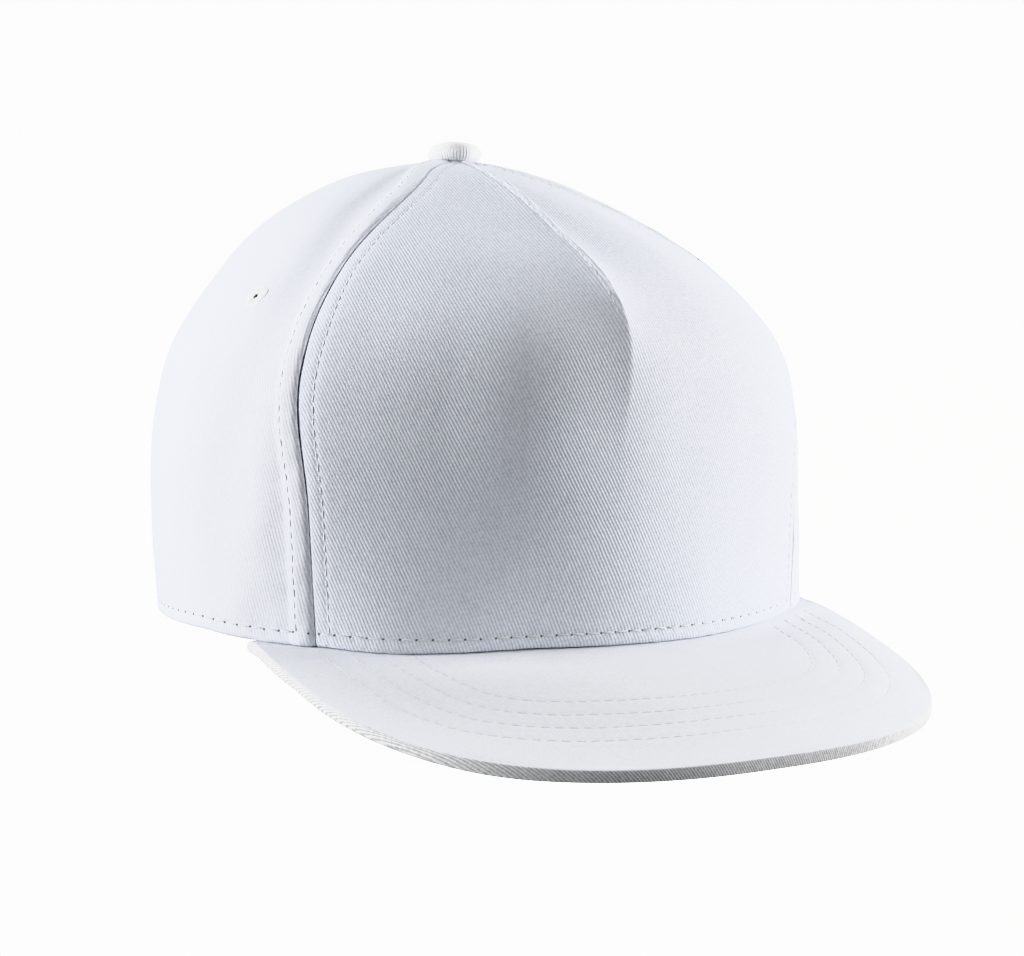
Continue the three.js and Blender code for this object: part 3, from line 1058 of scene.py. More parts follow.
@dataclass
class Crown:
    """The sewn crown: five panels, their seams, hems, dents and stitches."""

    hem_round: float = 1.0
    hem_gap: float = 0.1
    hem_row: float = 3.6
    hem_pitch: float = 4.35
    hem_samples: int = 900
    # depth and width of the sewn channel, of the swell below it and of the beat of its stitches
    hem_channel: tuple = (0.3, 0.9)
    hem_swell: tuple = (0.12, 1.2)
    hem_beat: tuple = (0.07, 1.6)
    seam_round: float = 1.15
    seam_fold: float = 0.8
    seam_dip: float = 0.45
    seam_draw: float = 2.6
    seam_lap: float = 0.3
    seam_pitch: float = 3.1
    # the folded edge of the raised seam allowance, and the allowance's width
    band_round: float = 1.9
    band_fold: float = 0.48
    band_width: float = 5.7
    # share of the seam's relief that shows at the front seam on the wearer's left
    far_seam: float = 0.3
    opening_half_width: float = 39.0
    opening_height: float = 49.0
    # distance of each stitch row from its seam, at even steps of rise
    front_row: tuple = (4.15, 4.3, 4.35, 4.8, 5.4, 4.8, 4.6, 4.5, 4.4, 4.3, 4.2)
    side_row: tuple = (5.0,)
    rear_row: tuple = (3.0,)
    # depth of a row's channel and height of its puckers, in the stiff front and in soft cloth, and their widths
    front_sewn: tuple = (0.16, 0.05)
    soft_sewn: tuple = (0.24, 0.13)
    sewn_widths: tuple = (0.7, 3.4)
    # the dart: height and both flanks of its welt, rise where it is sewn from, and its row with its channel
    welt: float = 0.4
    welt_flanks: tuple = ((-1.1, -0.6), (0.35, 0.9))
    dart_foot: tuple = (0.39, 0.43)
    dart_row: float = 1.35
    dart_channel: tuple = (0.2, 0.5)
    # heights of the slow and the fine unevenness of soft cloth, and how far from an eyelet it is held and is free
    slack_heights: tuple = (0.16, 0.1)
    eyelet_hold: tuple = (4.0, 14.0)
    grain_lean: float = 0.52
    # how the front lies off its smooth form, in even steps of rise and, in each row, from seam to seam:
    # heights that a separate program fitted to the photo's shading, rounded to 0.1 mm, and not set by hand
    lay: tuple = (
        (0, 1.5, 0.9, -0.2, 1.5, 1.9, 1, 0.2, 0),
        (0, -0.1, 0.6, 2.3, 2.8, 0.9, -0.6, -0.7, 0),
        (0, -1.3, -0.5, 3.2, 2.1, -0.7, -1.6, -0.8, 0),
        (0, -1.4, -0.8, 1, 0.5, -0.4, -0.5, -0.1, 0),
        (0, -0.5, -0.6, -0.7, -0.7, 0.6, 1.1, 0.3, 0),
        (0, -0.1, -0.7, -0.9, -0.2, 0.8, 0.9, 0.3, 0),
        (0, 0, -0.2, 0, 0.1, 0.1, 0.1, 0, 0),
        (0, 0, 0, 0, 0, 0, 0, 0, 0),
    )
    cloth: TwillFinish = TwillFinish()
    soft_cloth: TwillFinish = TwillFinish(
        "soft_twill", groove_shade=(0.555, 0.585, 0.645), rib_angle=math.radians(80.0), rib_depth=0.06 * MM
    )
    stitching: Stitching = Stitching()
    hem_stitching: Stitching = Stitching(width=0.55 * MM, height=0.42 * MM, hole=0.36 * MM)
    panels: tuple = (
        Panel("front_panel", Edge.RIGHT_FRONT, Edge.LEFT_FRONT, 220, 150, 2.2),
        Panel("side_panel_right", Edge.RIGHT_REAR, Edge.RIGHT_FRONT, 130, 130, band=Edge.RIGHT_FRONT, band_lift=0.8),
        Panel("side_panel_left", Edge.LEFT_FRONT, Edge.LEFT_REAR, 130, 130, band=Edge.LEFT_FRONT, band_lift=0.3),
        Panel("back_panel_right", Edge.RIGHT_BACK, Edge.RIGHT_REAR, 110, 110),
        Panel("back_panel_left", Edge.LEFT_REAR, Edge.LEFT_BACK, 110, 110),
    )

    def seam_line(self, edge: Edge, offset: tuple = (0.0,), low: float = 0.0, high: float = 1.0) -> Sampled:
        """A seam, or a line beside it.

        Args:
            edge: the seam.
            offset: distances from the seam in millimetres, evenly spaced in rise, positive towards the wearer's left.
            low: rise where the line starts.
            high: rise where it ends.

        Returns:
            The line on the smooth skin, in metres.
        """
        rise = np.linspace(low, high, 700)
        turn = CROWN.edge_turn(edge, rise)
        level, speed = CROWN.step_round(turn, rise)
        slope = unit(np.gradient(CROWN.point(turn, rise, 0.0, self.hem_gap), axis=0))
        squeeze = np.sqrt(np.maximum(1.0 - np.sum(slope * level, axis=1) ** 2, 0.05))
        moved = turn + along_rise(offset, rise) / squeeze / speed
        return Sampled(CROWN.placed(CROWN.point(moved, rise, 0.0, self.hem_gap)))

    def lower_edge(self, panel: Panel, share: Array) -> tuple[Array, Array]:
        """The panel's lower boundary, which on the back panels climbs round the half-moon opening.

        Args:
            panel: the panel.
            share: how far along the boundary, from the panel's left edge as seen from outside.

        Returns:
            The share of the way between the two seams, and the rise.
        """
        if not (panel.left.at_back or panel.right.at_back):
            return share, np.zeros_like(share)
        mirrored = panel.right.at_back
        run = 1.0 - share if mirrored else share
        angle = np.linspace(np.pi / 2, 0.0, 200)
        height = self.opening_height * np.sin(angle)
        rise = CROWN.rise_at(height)
        turn = CROWN.turn_at_back(self.opening_half_width * np.cos(angle), rise)
        seam = CROWN.seam_turns(np.zeros(1))[0, 1]
        along = np.linspace(turn[-1], seam, 120)[1:]
        turn = np.concatenate([turn, along])
        rise = np.concatenate([rise, np.zeros(len(along))])
        path = Sampled(CROWN.skin(turn, rise))
        at = run * path.lengths[-1]
        turn, rise = np.interp(at, path.lengths, turn), np.interp(at, path.lengths, rise)
        rear = CROWN.seam_turns(rise)[:, 1]
        from_back = (np.pi - turn) / (np.pi - rear)
        return (1.0 - from_back if mirrored else from_back), rise

    def hem_path(self, panel: Panel) -> tuple[Array, Array]:
        """Samples the panel's lower boundary.

        Args:
            panel: the panel.

        Returns:
            The turn and the rise of each sample, from the panel's left edge.
        """
        share, rise = self.lower_edge(panel, np.linspace(0.0, 1.0, self.hem_samples))
        left, right = panel.bounds(rise)
        return left + (right - left) * share, rise

    def mesh(self, panel: Panel) -> tuple[Piece, Array, Array]:
        """Adds the panel's grid and spreads it between its edges.

        Args:
            panel: the panel.

        Returns:
            The piece, and the turn and rise of each vertex.
        """
        piece, across, up = add_grid(panel.name + "_cloth", panel.columns, panel.rows)
        share = spread(across, panel.crowding)
        if panel.front:
            half = np.where(across < 0.5, 0.0, 0.5)
            share = half + spread((across - half) * 2.0, panel.crowding) / 2.0
        climb = 0.45 * up + 0.55 * up * up
        low_share, low_rise = self.lower_edge(panel, share)
        rise = low_rise + (1.0 - low_rise) * climb
        held = low_share + (share - low_share) * settle(climb, 0.0, 0.9)
        left, right = panel.bounds(rise)
        lap = self.seam_lap / 2.0 / CROWN.step_round((left + right) / 2.0, rise)[1]
        turn = (left - lap) + (right - left + 2 * lap) * held
        if panel.front:
            turn += CROWN.dart_turn(rise) * (1.0 - np.abs(2.0 * held - 1.0))
        return piece, turn, rise

    def relief(self, panel: Panel, turn: Array, rise: Array) -> Array:
        """Everything that lifts or draws in the panel's cloth, in millimetres.

        Args:
            panel: the panel.
            turn: turn of each vertex.
            rise: rise of each vertex.

        Returns:
            The lift of each vertex.
        """
        flat = CROWN.placed(CROWN.point(turn, rise, 0.0, self.hem_gap))
        lift = self.seam_relief(panel, panel.left, flat, rise) + self.seam_relief(panel, panel.right, flat, rise)
        lift += self.hem_relief(panel, flat)
        if panel.front:
            return lift + self.ridge_relief(turn, rise)
        return lift + self.slack(flat) * self.calm(flat)

    def seam_relief(self, panel: Panel, edge: Edge, flat: Array, rise: Array) -> Array:
        """A panel's sewn edge: folded, raised over a seam allowance, and drawn in and puckered along its row.

        Args:
            panel: the panel.
            edge: the edge.
            flat: each vertex on the smooth skin, in metres.
            rise: rise of each vertex.

        Returns:
            The lift of each vertex.
        """
        distance, along = (length / MM for length in self.seam_line(edge).near(flat))
        if edge is panel.band:
            table, fold = self.side_row, self.band_fold * rounded(distance, self.band_round)
        else:
            table = self.front_row if panel.front else self.rear_row
            fold = self.seam_fold * rounded(distance, self.seam_round)
        lift = -fold - self.seam_dip * np.exp(-distance / self.seam_draw)
        if edge is Edge.LEFT_FRONT:
            lift *= self.far_seam
        if edge is panel.band:
            lift += panel.band_lift * (1.0 - settle(distance, self.band_width * 0.8, self.band_width * 1.25))
        channel, pucker = self.front_sewn if panel.front else self.soft_sewn
        off_row = distance - along_rise(table, rise)
        wave = np.sin(along * math.tau / (self.seam_pitch * 3.1) + 1.3 * np.sin(along * 0.11))
        narrow, wide = self.sewn_widths
        return lift - channel * bell(off_row, narrow) + pucker * wave * bell(off_row, wide) * settle(distance, 0.4, 2.0)

    def hem_relief(self, panel: Panel, flat: Array) -> Array:
        """The turned lower edge: rounded, with a shallow channel where it is sewn.

        Args:
            panel: the panel.
            flat: each vertex on the smooth skin, in metres.

        Returns:
            The lift of each vertex.
        """
        edge = Sampled(CROWN.placed(CROWN.point(*self.hem_path(panel), 0.0, self.hem_gap)))
        distance, along = (length / MM for length in edge.near(flat))
        (deep, narrow), (high, wide), (strong, near) = self.hem_channel, self.hem_swell, self.hem_beat
        channel = deep * bell(distance - self.hem_row, narrow)
        swell = high * bell(distance - self.hem_row / 2.0, wide)
        beat = strong * np.cos(along * math.tau / self.hem_pitch) * bell(distance - self.hem_row, near)
        return swell + beat - rounded(distance, self.hem_round) - channel

    def ridge_relief(self, turn: Array, rise: Array) -> Array:
        """The dart's ridge with its narrow welt and stitched channel, and how the panel lies off its form.

        Args:
            turn: turn of each vertex.
            rise: rise of each vertex.

        Returns:
            The lift of each vertex.
        """
        skin = CROWN.skin(turn, rise)
        across = skin[:, 0] - along_rise(CROWN.dart_shift, rise)
        crest = CROWN.crest(rise) * np.exp(-np.abs(across) / along_rise(CROWN.ridge_spread, rise))
        near, far = self.welt_flanks
        welt = self.welt * (settle(across, *near) - settle(across, *far))
        channel = self.dart_channel[0] * bell(across + self.dart_row, self.dart_channel[1])
        pucker = 0.06 * np.sin(skin[:, 2] * 1.3) * bell(across + 2.6, 2.2)
        return crest + (welt + pucker - channel) * settle(rise, *self.dart_foot) + self.front_lay(turn, rise)

    def front_lay(self, turn: Array, rise: Array) -> Array:
        """How far the front panel lies off its smooth form.

        Args:
            turn: turn of each vertex.
            rise: rise of each vertex.

        Returns:
            The lift of each vertex.
        """
        table = np.array(self.lay, dtype=float)
        seam, dart = CROWN.seam_turns(rise)[:, 0], CROWN.dart_turn(rise)
        across = (turn - dart) / (seam - np.sign(turn - dart) * dart)
        up = catmull(np.eye(len(table)), rise)
        along = catmull(np.eye(table.shape[1]), (np.clip(across, -1.0, 1.0) + 1.0) / 2.0)
        return np.einsum("ni,ij,nj->n", up, table, along)

    def slack(self, flat: Array) -> Array:
        """Slow unevenness of cloth that nothing stiffens.

        Args:
            flat: each vertex on the smooth skin, in metres.

        Returns:
            The lift of each vertex.
        """
        x, y, z = flat.T / MM
        waves = np.sin(x * 0.061 + z * 0.083 + 0.7) + np.sin(y * 0.094 - z * 0.052 + 2.1)
        fine = np.sin(x * 0.19 - z * 0.13 + 0.4) * np.sin(y * 0.17 + z * 0.21 + 1.9)
        return self.slack_heights[0] * waves + self.slack_heights[1] * fine

    def calm(self, flat: Array) -> Array:
        """Where the cloth is free of the eyelets, which hold it still.

        Args:
            flat: each vertex on the smooth skin, in metres.

        Returns:
            0 at an eyelet, 1 away from all of them.
        """
        share = np.ones(len(flat))
        for eyelet in EYELETS:
            away = np.linalg.norm(flat - np.array(eyelet.seat()[0]), axis=1) / MM
            share *= settle(away, *self.eyelet_hold)
        return share

    def lie(self, panel: Panel, turn: Array, rise: Array) -> Array:
        """How the cloth lies on the panel, in millimetres across and up it.

        Args:
            panel: the panel.
            turn: turn of each vertex.
            rise: rise of each vertex.

        Returns:
            One pair in a row.
        """
        up = CROWN.arc(np.zeros_like(rise), rise, turn, False)
        if not panel.front:
            middle = sum(panel.bounds(rise)) / 2.0
            return np.stack([CROWN.arc(middle, turn, rise, True), up], axis=1)
        skin, centre = CROWN.skin(turn, rise), CROWN.skin(np.zeros_like(turn), rise)
        back = skin[:, 1] - centre[:, 1]
        across = skin[:, 0] + back * np.where(skin[:, 0] < 0.0, -self.grain_lean, self.grain_lean / 2.0)
        across -= (centre[:, 1] + CROWN.sections[0][1]) * self.grain_lean
        return np.stack([across, 0.5 * up + 0.5 * skin[:, 2]], axis=1)

    def build_panel(self, panel: Panel) -> Surface:
        """Builds one panel and dresses it.

        Args:
            panel: the panel.

        Returns:
            Its outer face, for the stitches.
        """
        piece, turn, rise = self.mesh(panel)
        lift = self.relief(panel, turn, rise)
        move_to(piece, CROWN.placed(CROWN.point(turn, rise, lift, self.hem_gap)))
        lay_uv(piece, self.lie(panel, turn, rise) * MM)
        self.open_vent(piece, panel)
        face = Surface(piece)
        apply_modifier(piece, "SOLIDIFY", thickness=(panel.wall - 0.15) * MM, offset=-1.0)
        smooth(piece, 60.0)
        dress(piece, self.cloth if panel.front else self.soft_cloth, "crown_twill", panel.name)
        return face

    def open_vent(self, piece: Piece, panel: Panel) -> None:
        """Cuts away the cloth inside the panel's eyelet.

        Args:
            piece: the panel's cloth.
            panel: the panel.
        """
        for eyelet in EYELETS:
            if eyelet.node.endswith(panel.name.replace("panel_", "")):
                centre = eyelet.seat()[0]
                edit(piece, Element.FACE, lambda face: (face.center - centre).length < eyelet.cut * MM)
                bpy.ops.mesh.delete(type="FACE")
                bpy.ops.object.mode_set(mode="OBJECT")

    def build(self) -> None:
        """Builds the whole crown with its stitches."""
        faces = {panel.name: self.build_panel(panel) for panel in self.panels}
        self.sew_seams(faces)
        self.sew_hem(faces)
        self.sew_dart(faces["front_panel"])

    def sew_seams(self, faces: dict) -> None:
        """Sews the rows beside each seam.

        Args:
            faces: each panel's outer face.
        """
        rows = (
            ("front_seam_row_right", Edge.RIGHT_FRONT, 1.0, self.front_row, "front_panel"),
            ("front_seam_row_left", Edge.LEFT_FRONT, -1.0, self.front_row, "front_panel"),
            ("side_welt_row_right", Edge.RIGHT_FRONT, -1.0, self.side_row, "side_panel_right"),
            ("side_welt_row_left", Edge.LEFT_FRONT, 1.0, self.side_row, "side_panel_left"),
            ("rear_seam_row_right_ahead", Edge.RIGHT_REAR, 1.0, self.rear_row, "side_panel_right"),
            ("rear_seam_row_right_behind", Edge.RIGHT_REAR, -1.0, self.rear_row, "back_panel_right"),
            ("rear_seam_row_left_ahead", Edge.LEFT_REAR, -1.0, self.rear_row, "side_panel_left"),
            ("rear_seam_row_left_behind", Edge.LEFT_REAR, 1.0, self.rear_row, "back_panel_left"),
            ("back_seam_row_right", Edge.RIGHT_BACK, 1.0, self.rear_row, "back_panel_right"),
            ("back_seam_row_left", Edge.LEFT_BACK, -1.0, self.rear_row, "back_panel_left"),
        )
        above_opening = float(CROWN.rise_at(np.array([self.opening_height + 3]))[0])
        for seed, (name, edge, side, table, panel) in enumerate(rows):
            low = above_opening if edge.at_back else 0.0
            line = self.seam_line(edge, tuple(side * offset for offset in table), low + 0.02, 0.97)
            self.stitching.sew(name, line, faces[panel], self.seam_pitch * MM, seed)

    def sew_hem(self, faces: dict) -> None:
        """Sews the row above the lower edge, with painted shade for its needle holes.

        Args:
            faces: each panel's outer face.
        """
        first_seed, pitch = 40, self.hem_pitch * MM
        for seed, panel in enumerate(self.panels, first_seed):
            turn, rise = self.hem_path(panel)
            edge = CROWN.point(turn, rise, 0.0, self.hem_gap)
            inward = unit(np.cross(CROWN.normal(turn, rise), np.gradient(edge, axis=0)))
            line = Sampled(CROWN.placed(edge + inward * self.hem_row)[6:-6])
            name = panel.name.replace("_panel", "")
            self.hem_stitching.sew("hem_row_" + name, line, faces[panel.name], pitch, seed)
            self.hem_stitching.shade_holes("hem_hole_shade_" + name, line, faces[panel.name], pitch)

    def sew_dart(self, face: Surface) -> None:
        """Sews the row along the dart, on the wearer's right of its ridge.

        Args:
            face: the front panel's outer face.
        """
        rise = np.linspace(0.405, 0.965, 500)
        turn = CROWN.dart_turn(rise)
        path = CROWN.point(turn, rise, CROWN.crest(rise) * 0.88, self.hem_gap)
        path[:, 0] -= self.dart_row
        self.stitching.sew("dart_row", Sampled(CROWN.placed(path)), face, self.seam_pitch * MM, 60)


# Eyelets


@dataclass
class Eyelet:
    """A sewn vent: a ring of close buttonhole stitches round a small hole."""

    node: str
    turn: float
    rise: float
    radius: float = 4.0
    hole: float = 0.75
    height: float = 0.22
    sunk: float = 0.12
    cut: float = 2.9
    threads: int = 34

    def seat(self) -> tuple[Vector, Vector]:
        """Where the ring sits.

        Returns:
            Its centre on the cloth, and the outward normal there.
        """
        turn, rise = np.array([math.radians(self.turn)]), np.array([self.rise])
        centre = CROWN.placed(CROWN.point(turn, rise, 0.0, 0.0))[0]
        ahead = CROWN.placed(CROWN.point(turn, rise, 1.0, 0.0))[0]
        return Vector(centre), Vector(ahead - centre).normalized()

    def build(self) -> None:
        """Builds the ring, ridge by ridge."""
        centre, normal = self.seat()
        mean, thick = (self.radius + self.hole) / 2.0, (self.radius - self.hole) / 2.0
        cuts = {"major_segments": self.threads * 6, "minor_segments": 14}
        sizes = {"major_radius": mean * MM, "minor_radius": thick * MM}
        ring = primitive(bpy.ops.mesh.primitive_torus_add, self.node + "_thread", **cuts, **sizes)
        points = coordinates(ring)
        around = np.arctan2(points[:, 1], points[:, 0])
        across = np.hypot(points[:, 0], points[:, 1])
        lift = points[:, 2] / (thick * MM)
        chance = np.random.default_rng(len(self.node))
        wander = 0.1 * np.sin(around * 5 + chance.uniform(0, 6)) + 0.06 * np.sin(around * 11 + 1.0)
        ridge = 0.5 + 0.5 * np.cos(around * self.threads)
        outward = (across - mean * MM) * (1.0 + wander) + mean * MM
        outward += np.maximum(across / MM - mean, 0.0) * 0.12 * MM * ridge
        points[:, 0], points[:, 1] = outward * np.cos(around), outward * np.sin(around)
        points[:, 2] = lift * self.height * MM * (0.6 + 0.4 * ridge) - self.sunk * MM
        move_to(ring, points @ facing(normal).T + np.array(centre))
        smooth(ring, 80.0)
        dress(ring, ThreadFinish(), "eyelet_thread", self.node)


EYELETS = (
    Eyelet("eyelet_side_right", -70.5, 0.452),
    Eyelet("eyelet_side_left", 70.5, 0.452),
    Eyelet("eyelet_back_right", -141.0, 0.49),
    Eyelet("eyelet_back_left", 141.0, 0.49),
)


# Peak


@dataclass
class Peak:
    """The stiff peak in its cloth cover, with four rows of stitches."""

    columns: int = 260
    crowding: float = 0.3
    rim: float = 1.35
    # how much fuller the wearer's right corner is, and how far the corners run on under the crown
    corner: float = 1.0
    run_on: float = 7.0
    insets: tuple = (12.9, 19.9, 27.0, 34.5)
    # how much further in the rows run, from the wearer's right to the left
    swell: tuple = (0.0, 0.0, -0.1, 1.2, 2.3, 1.8, 0.9, -1.0, -2.0, -2.0, -2.0)
    pitch: float = 3.6
    row_samples: int = 1200
    channel: float = 0.16
    tuck: float = 6.0
    # exponents of the rim's round, in front and at the sides
    square: float = 0.25
    side_square: float = 0.9
    thickness: float = 3.3
    sink: float = 1.0
    raised: float = 0.75
    # faces that stand steeper than this wear the rim's cloth, a darker copy of the cover: painted shade on the upright
    # rim
    rim_shade_slope: float = 0.72
    cloth: TwillFinish = TwillFinish(
        "peak_cover",
        colour=(0.87, 0.895, 0.94),
        groove_shade=(0.66, 0.69, 0.755),
        rib_spacing=0.66 * MM,
        rib_angle=math.radians(122.0),
        rib_depth=0.04 * MM,
    )
    # painted shade: the cover made darker, with near-black grooves, for the upright rim that stands in shade
    rim_cloth: TwillFinish = replace(
        cloth, name="peak_rim_painted_shade", colour=(0.84, 0.85, 0.87), groove_shade=(0.2, 0.21, 0.235), rib_depth=0.1 * MM
    )
    stitching: Stitching = Stitching(width=0.36 * MM, height=0.16 * MM)

    def outline(self, share: Array) -> Array:
        """The outline on plan, fuller at the wearer's right corner and run on under the crown's edge.

        Args:
            share: runs from -1 at the wearer's right corner to 1 at the left.

        Returns:
            One place in a row.
        """
        edge = PEAK.edge(share, CROWN.sections[0][1])
        edge[:, 0] -= self.corner * settle(-share, 0.93, 0.98)
        edge[:, 1] -= self.run_on * settle(np.abs(share), 0.95, 1.0)
        return edge

    def face_height(self, plan: Array, ahead: Array) -> Array:
        """Height of the upper face: drawn down under the crown's edge and a little up at the front.

        Args:
            plan: places on plan.
            ahead: how far each is ahead of the crown's edge.

        Returns:
            The heights.
        """
        near, far = 1.0 - settle(ahead, 0.0, 20.0), settle(ahead, 25.0, 60.0)
        height = PEAK.top(plan[:, 0], plan[:, 1]) - self.sink * near + self.raised * far
        limit = CROWN.hem_height(plan[:, 0], plan[:, 1], 0.0) - 0.1
        return height - np.maximum(height - limit, 0.0) * (1.0 - settle(ahead, 0.5, 14.0))

    def root(self, across: Array) -> Array:
        """The crown's lower edge on plan, moved inwards to where the peak ends.

        Args:
            across: runs from -1 at the wearer's right corner to 1 at the left.

        Returns:
            One place in a row.
        """
        section = CROWN.sections[0]
        corner = math.acos((PEAK.root / section[1]) ** (1.0 / section[4]))
        turn = across * corner
        rise = np.zeros_like(turn)
        points = CROWN.skin(turn, rise) - CROWN.normal(turn, rise) * self.tuck
        return np.stack([points[:, 0], -points[:, 1]], axis=1)

    def build(self) -> None:
        """Builds the cover as one closed skin from the top over the rim to the underside."""
        profile = self.profile()
        piece, across, up = add_grid("peak_cloth", self.columns, len(profile) - 1)
        share = spread(across, self.crowding) * 2.0 - 1.0
        row = np.rint(up * (len(profile) - 1)).astype(int)
        part, bend = profile[row].T
        square = self.square + (self.side_square - self.square) * settle(np.abs(share), 0.5, 0.72)
        outward = self.rim * power(np.sin(bend), square)
        drop = self.thickness / 2.0 * (1.0 - power(np.cos(bend), square))
        root, edge = self.root(share), self.outline(share)
        away = edge - root
        length = np.linalg.norm(away, axis=1)
        away /= length[:, None]
        reach = np.where(part < 1.0, part * (length - self.rim), length - self.rim + outward)
        plan = root + away * reach[:, None]
        slack = 0.16 * np.sin(plan[:, 0] * 0.08 + 1.0) * np.sin(plan[:, 1] * 0.11)
        height = self.face_height(plan, reach - self.tuck) - drop
        height += np.where(part < 1.0, np.where(drop < 0.5, slack - self.channels(plan, share), 0.0), 0.0)
        move_to(piece, CROWN.placed(np.stack([plan[:, 0], -plan[:, 1], height], axis=1)))
        turned = np.where(part >= 1.0, drop + outward, np.where(drop > 0.5, 2 * (length - reach) + 6.0, 0.0))
        lay_uv(piece, (plan + away * turned[:, None]) * MM)
        self.close(piece)
        face = Surface(piece)
        smooth(piece, 60.0)
        dress(piece, self.cloth, "peak_twill", "peak")
        # painted shade: the rim's steep faces take the darker copy of the cover
        piece.data.materials.append(self.rim_cloth.material())
        for part in piece.data.polygons:
            part.material_index = int(abs(part.normal.z) < self.rim_shade_slope)
        self.sew(face)

    def profile(self) -> Array:
        """Rows of the skin, from the root over the top and round the rim back to the root.

        Returns:
            The share of the way out and the turn round the rim, for each row.
        """
        top = [(part, 0.0) for part in np.linspace(0.0, 0.992, 70)]
        rim = [(1.0, turn) for turn in np.linspace(0.0, np.pi, 17)]
        under = [(part, np.pi) for part in np.linspace(0.992, 0.0, 36)]
        return np.array(top + rim + under)

    def channels(self, plan: Array, share: Array) -> Array:
        """The shallow channels that the stitch rows draw in.

        Args:
            plan: places on plan.
            share: how far across the peak each is.

        Returns:
            The depth at each place.
        """
        level = np.zeros((len(plan), 1))
        depth = np.zeros(len(plan))
        for inset in self.insets:
            line = Sampled(np.hstack([self.row_line(inset), level[: self.row_samples]]))
            depth += self.channel * bell(line.near(np.hstack([plan, level]))[0], 0.7)
        return depth * (1.0 - settle(np.abs(share), 0.5, 0.75))

    def row_line(self, inset: float) -> Array:
        """One stitch row on plan.

        Args:
            inset: how far inside the outline it runs.

        Returns:
            One place in a row.
        """
        share = np.linspace(-1.0, 1.0, self.row_samples + 2)
        edge = PEAK.edge(share, CROWN.sections[0][1])
        step = unit(np.diff(edge, axis=0))
        inward = np.stack([step[:, 1], -step[:, 0]], axis=1)
        reach = inset + along_rise(self.swell, (share[:-1] + 1.0) / 2.0)
        line = (edge[:-1] + edge[1:]) / 2.0 + inward * reach[:, None]
        return line[: self.row_samples]

    def close(self, piece: Piece) -> None:
        """Closes the skin's two ends and its hidden back edge.

        Args:
            piece: the peak's cover.
        """
        activate(piece)
        bpy.ops.object.mode_set(mode="EDIT")
        bpy.ops.mesh.select_all(action="SELECT")
        bpy.ops.mesh.remove_doubles(threshold=0.01 * MM)
        bpy.ops.mesh.select_all(action="DESELECT")
        bpy.ops.mesh.select_mode(type="EDGE")
        bpy.ops.mesh.select_non_manifold()
        bpy.ops.mesh.fill()
        bpy.ops.mesh.select_all(action="SELECT")
        bpy.ops.mesh.normals_make_consistent(inside=False)
        bpy.ops.object.mode_set(mode="OBJECT")

    def sew(self, face: Surface) -> None:
        """Sews the four rows.

        Args:
            face: the cover's outer face.
        """
        for i, inset in enumerate(self.insets):
            plan = self.row_line(inset)
            plan = plan[self.clear_of_crown(plan)]
            height = PEAK.top(plan[:, 0], plan[:, 1]) + 0.8
            line = Sampled(CROWN.placed(np.stack([plan[:, 0], -plan[:, 1], height], axis=1)))
            self.stitching.sew(f"peak_row_{i + 1}", line, face, self.pitch * MM, 80 + i)

    def clear_of_crown(self, plan: Array) -> Array:
        """Which places lie ahead of the crown's lower edge.

        Args:
            plan: places on plan.

        Returns:
            True or False for each place.
        """
        turn = np.linspace(-1.5, 1.5, 400)
        edge = CROWN.skin(turn, np.zeros_like(turn))
        ahead = np.interp(plan[:, 0], edge[:, 0], -edge[:, 1])
        return plan[:, 1] > ahead + 1.0


# Button


@dataclass
class Button:
    """The covered button: cloth drawn over a flat dome and gathered under it."""

    radius: float = 8.55
    foot: float = 5.0
    waist: float = 3.0
    top: float = 6.9
    sunk: float = 1.2
    gathers: int = 54
    gather_depth: float = 0.13
    # where the flank turns in to the foot, on a sphere of radius 1
    turn_in: float = 0.8
    cloth: TwillFinish = TwillFinish(
        "button_cover",
        colour=(0.9, 0.91, 0.93),
        groove_shade=(0.7, 0.72, 0.76),
        rib_spacing=0.8 * MM,
        rib_depth=0.04 * MM,
    )

    def build(self) -> None:
        """Shapes a sphere into the button and gathers its lower half."""
        cuts = {"segments": self.gathers * 6, "ring_count": 60}
        piece = primitive(bpy.ops.mesh.primitive_uv_sphere_add, "button_cloth", **cuts, radius=1.0)
        points = coordinates(piece)
        around = np.arctan2(points[:, 1], points[:, 0])
        height = np.clip(points[:, 2], -1.0, 1.0)
        level = np.hypot(points[:, 0], points[:, 1])
        down = np.clip(-height / self.turn_in, 0.0, 1.0)
        flank = self.foot + (self.radius - self.foot) * np.sqrt(1.0 - down**2)
        under = self.foot * np.clip((1.0 + height) / (1.0 - self.turn_in), 0.0, 1.0)
        below = np.where(height > -self.turn_in, flank, under)
        across = np.where(height > 0, self.radius * power(level, 0.72), below)
        lift = np.where(height > 0, self.waist + (self.top - self.waist) * power(height, 0.9), self.waist * (1 - down))
        gather = np.cos(around * self.gathers + 0.9 * np.sin(around * 3)) * (0.7 + 0.3 * np.sin(around * 7 + 1))
        across += self.gather_depth * gather * settle(0.55 - height, 0.0, 0.8) * settle(level, 0.25, 0.7)
        lift += np.where(height > 0.0, 0.12 * np.cos(around * 3 + 0.5) * level, 0.0)
        worn = np.stack([across * np.cos(around), across * np.sin(around), lift], axis=1)
        worn += np.array([0.0, CROWN.setback, CROWN.sections[-1][0] - self.sunk])
        move_to(piece, CROWN.placed(worn))
        lay_uv(piece, np.stack([worn[:, 0], worn[:, 1] + self.top - lift], axis=1) * MM)
        smooth(piece, 80.0)
        dress(piece, self.cloth, "button_twill", "button")


# Sweatband and snap closure


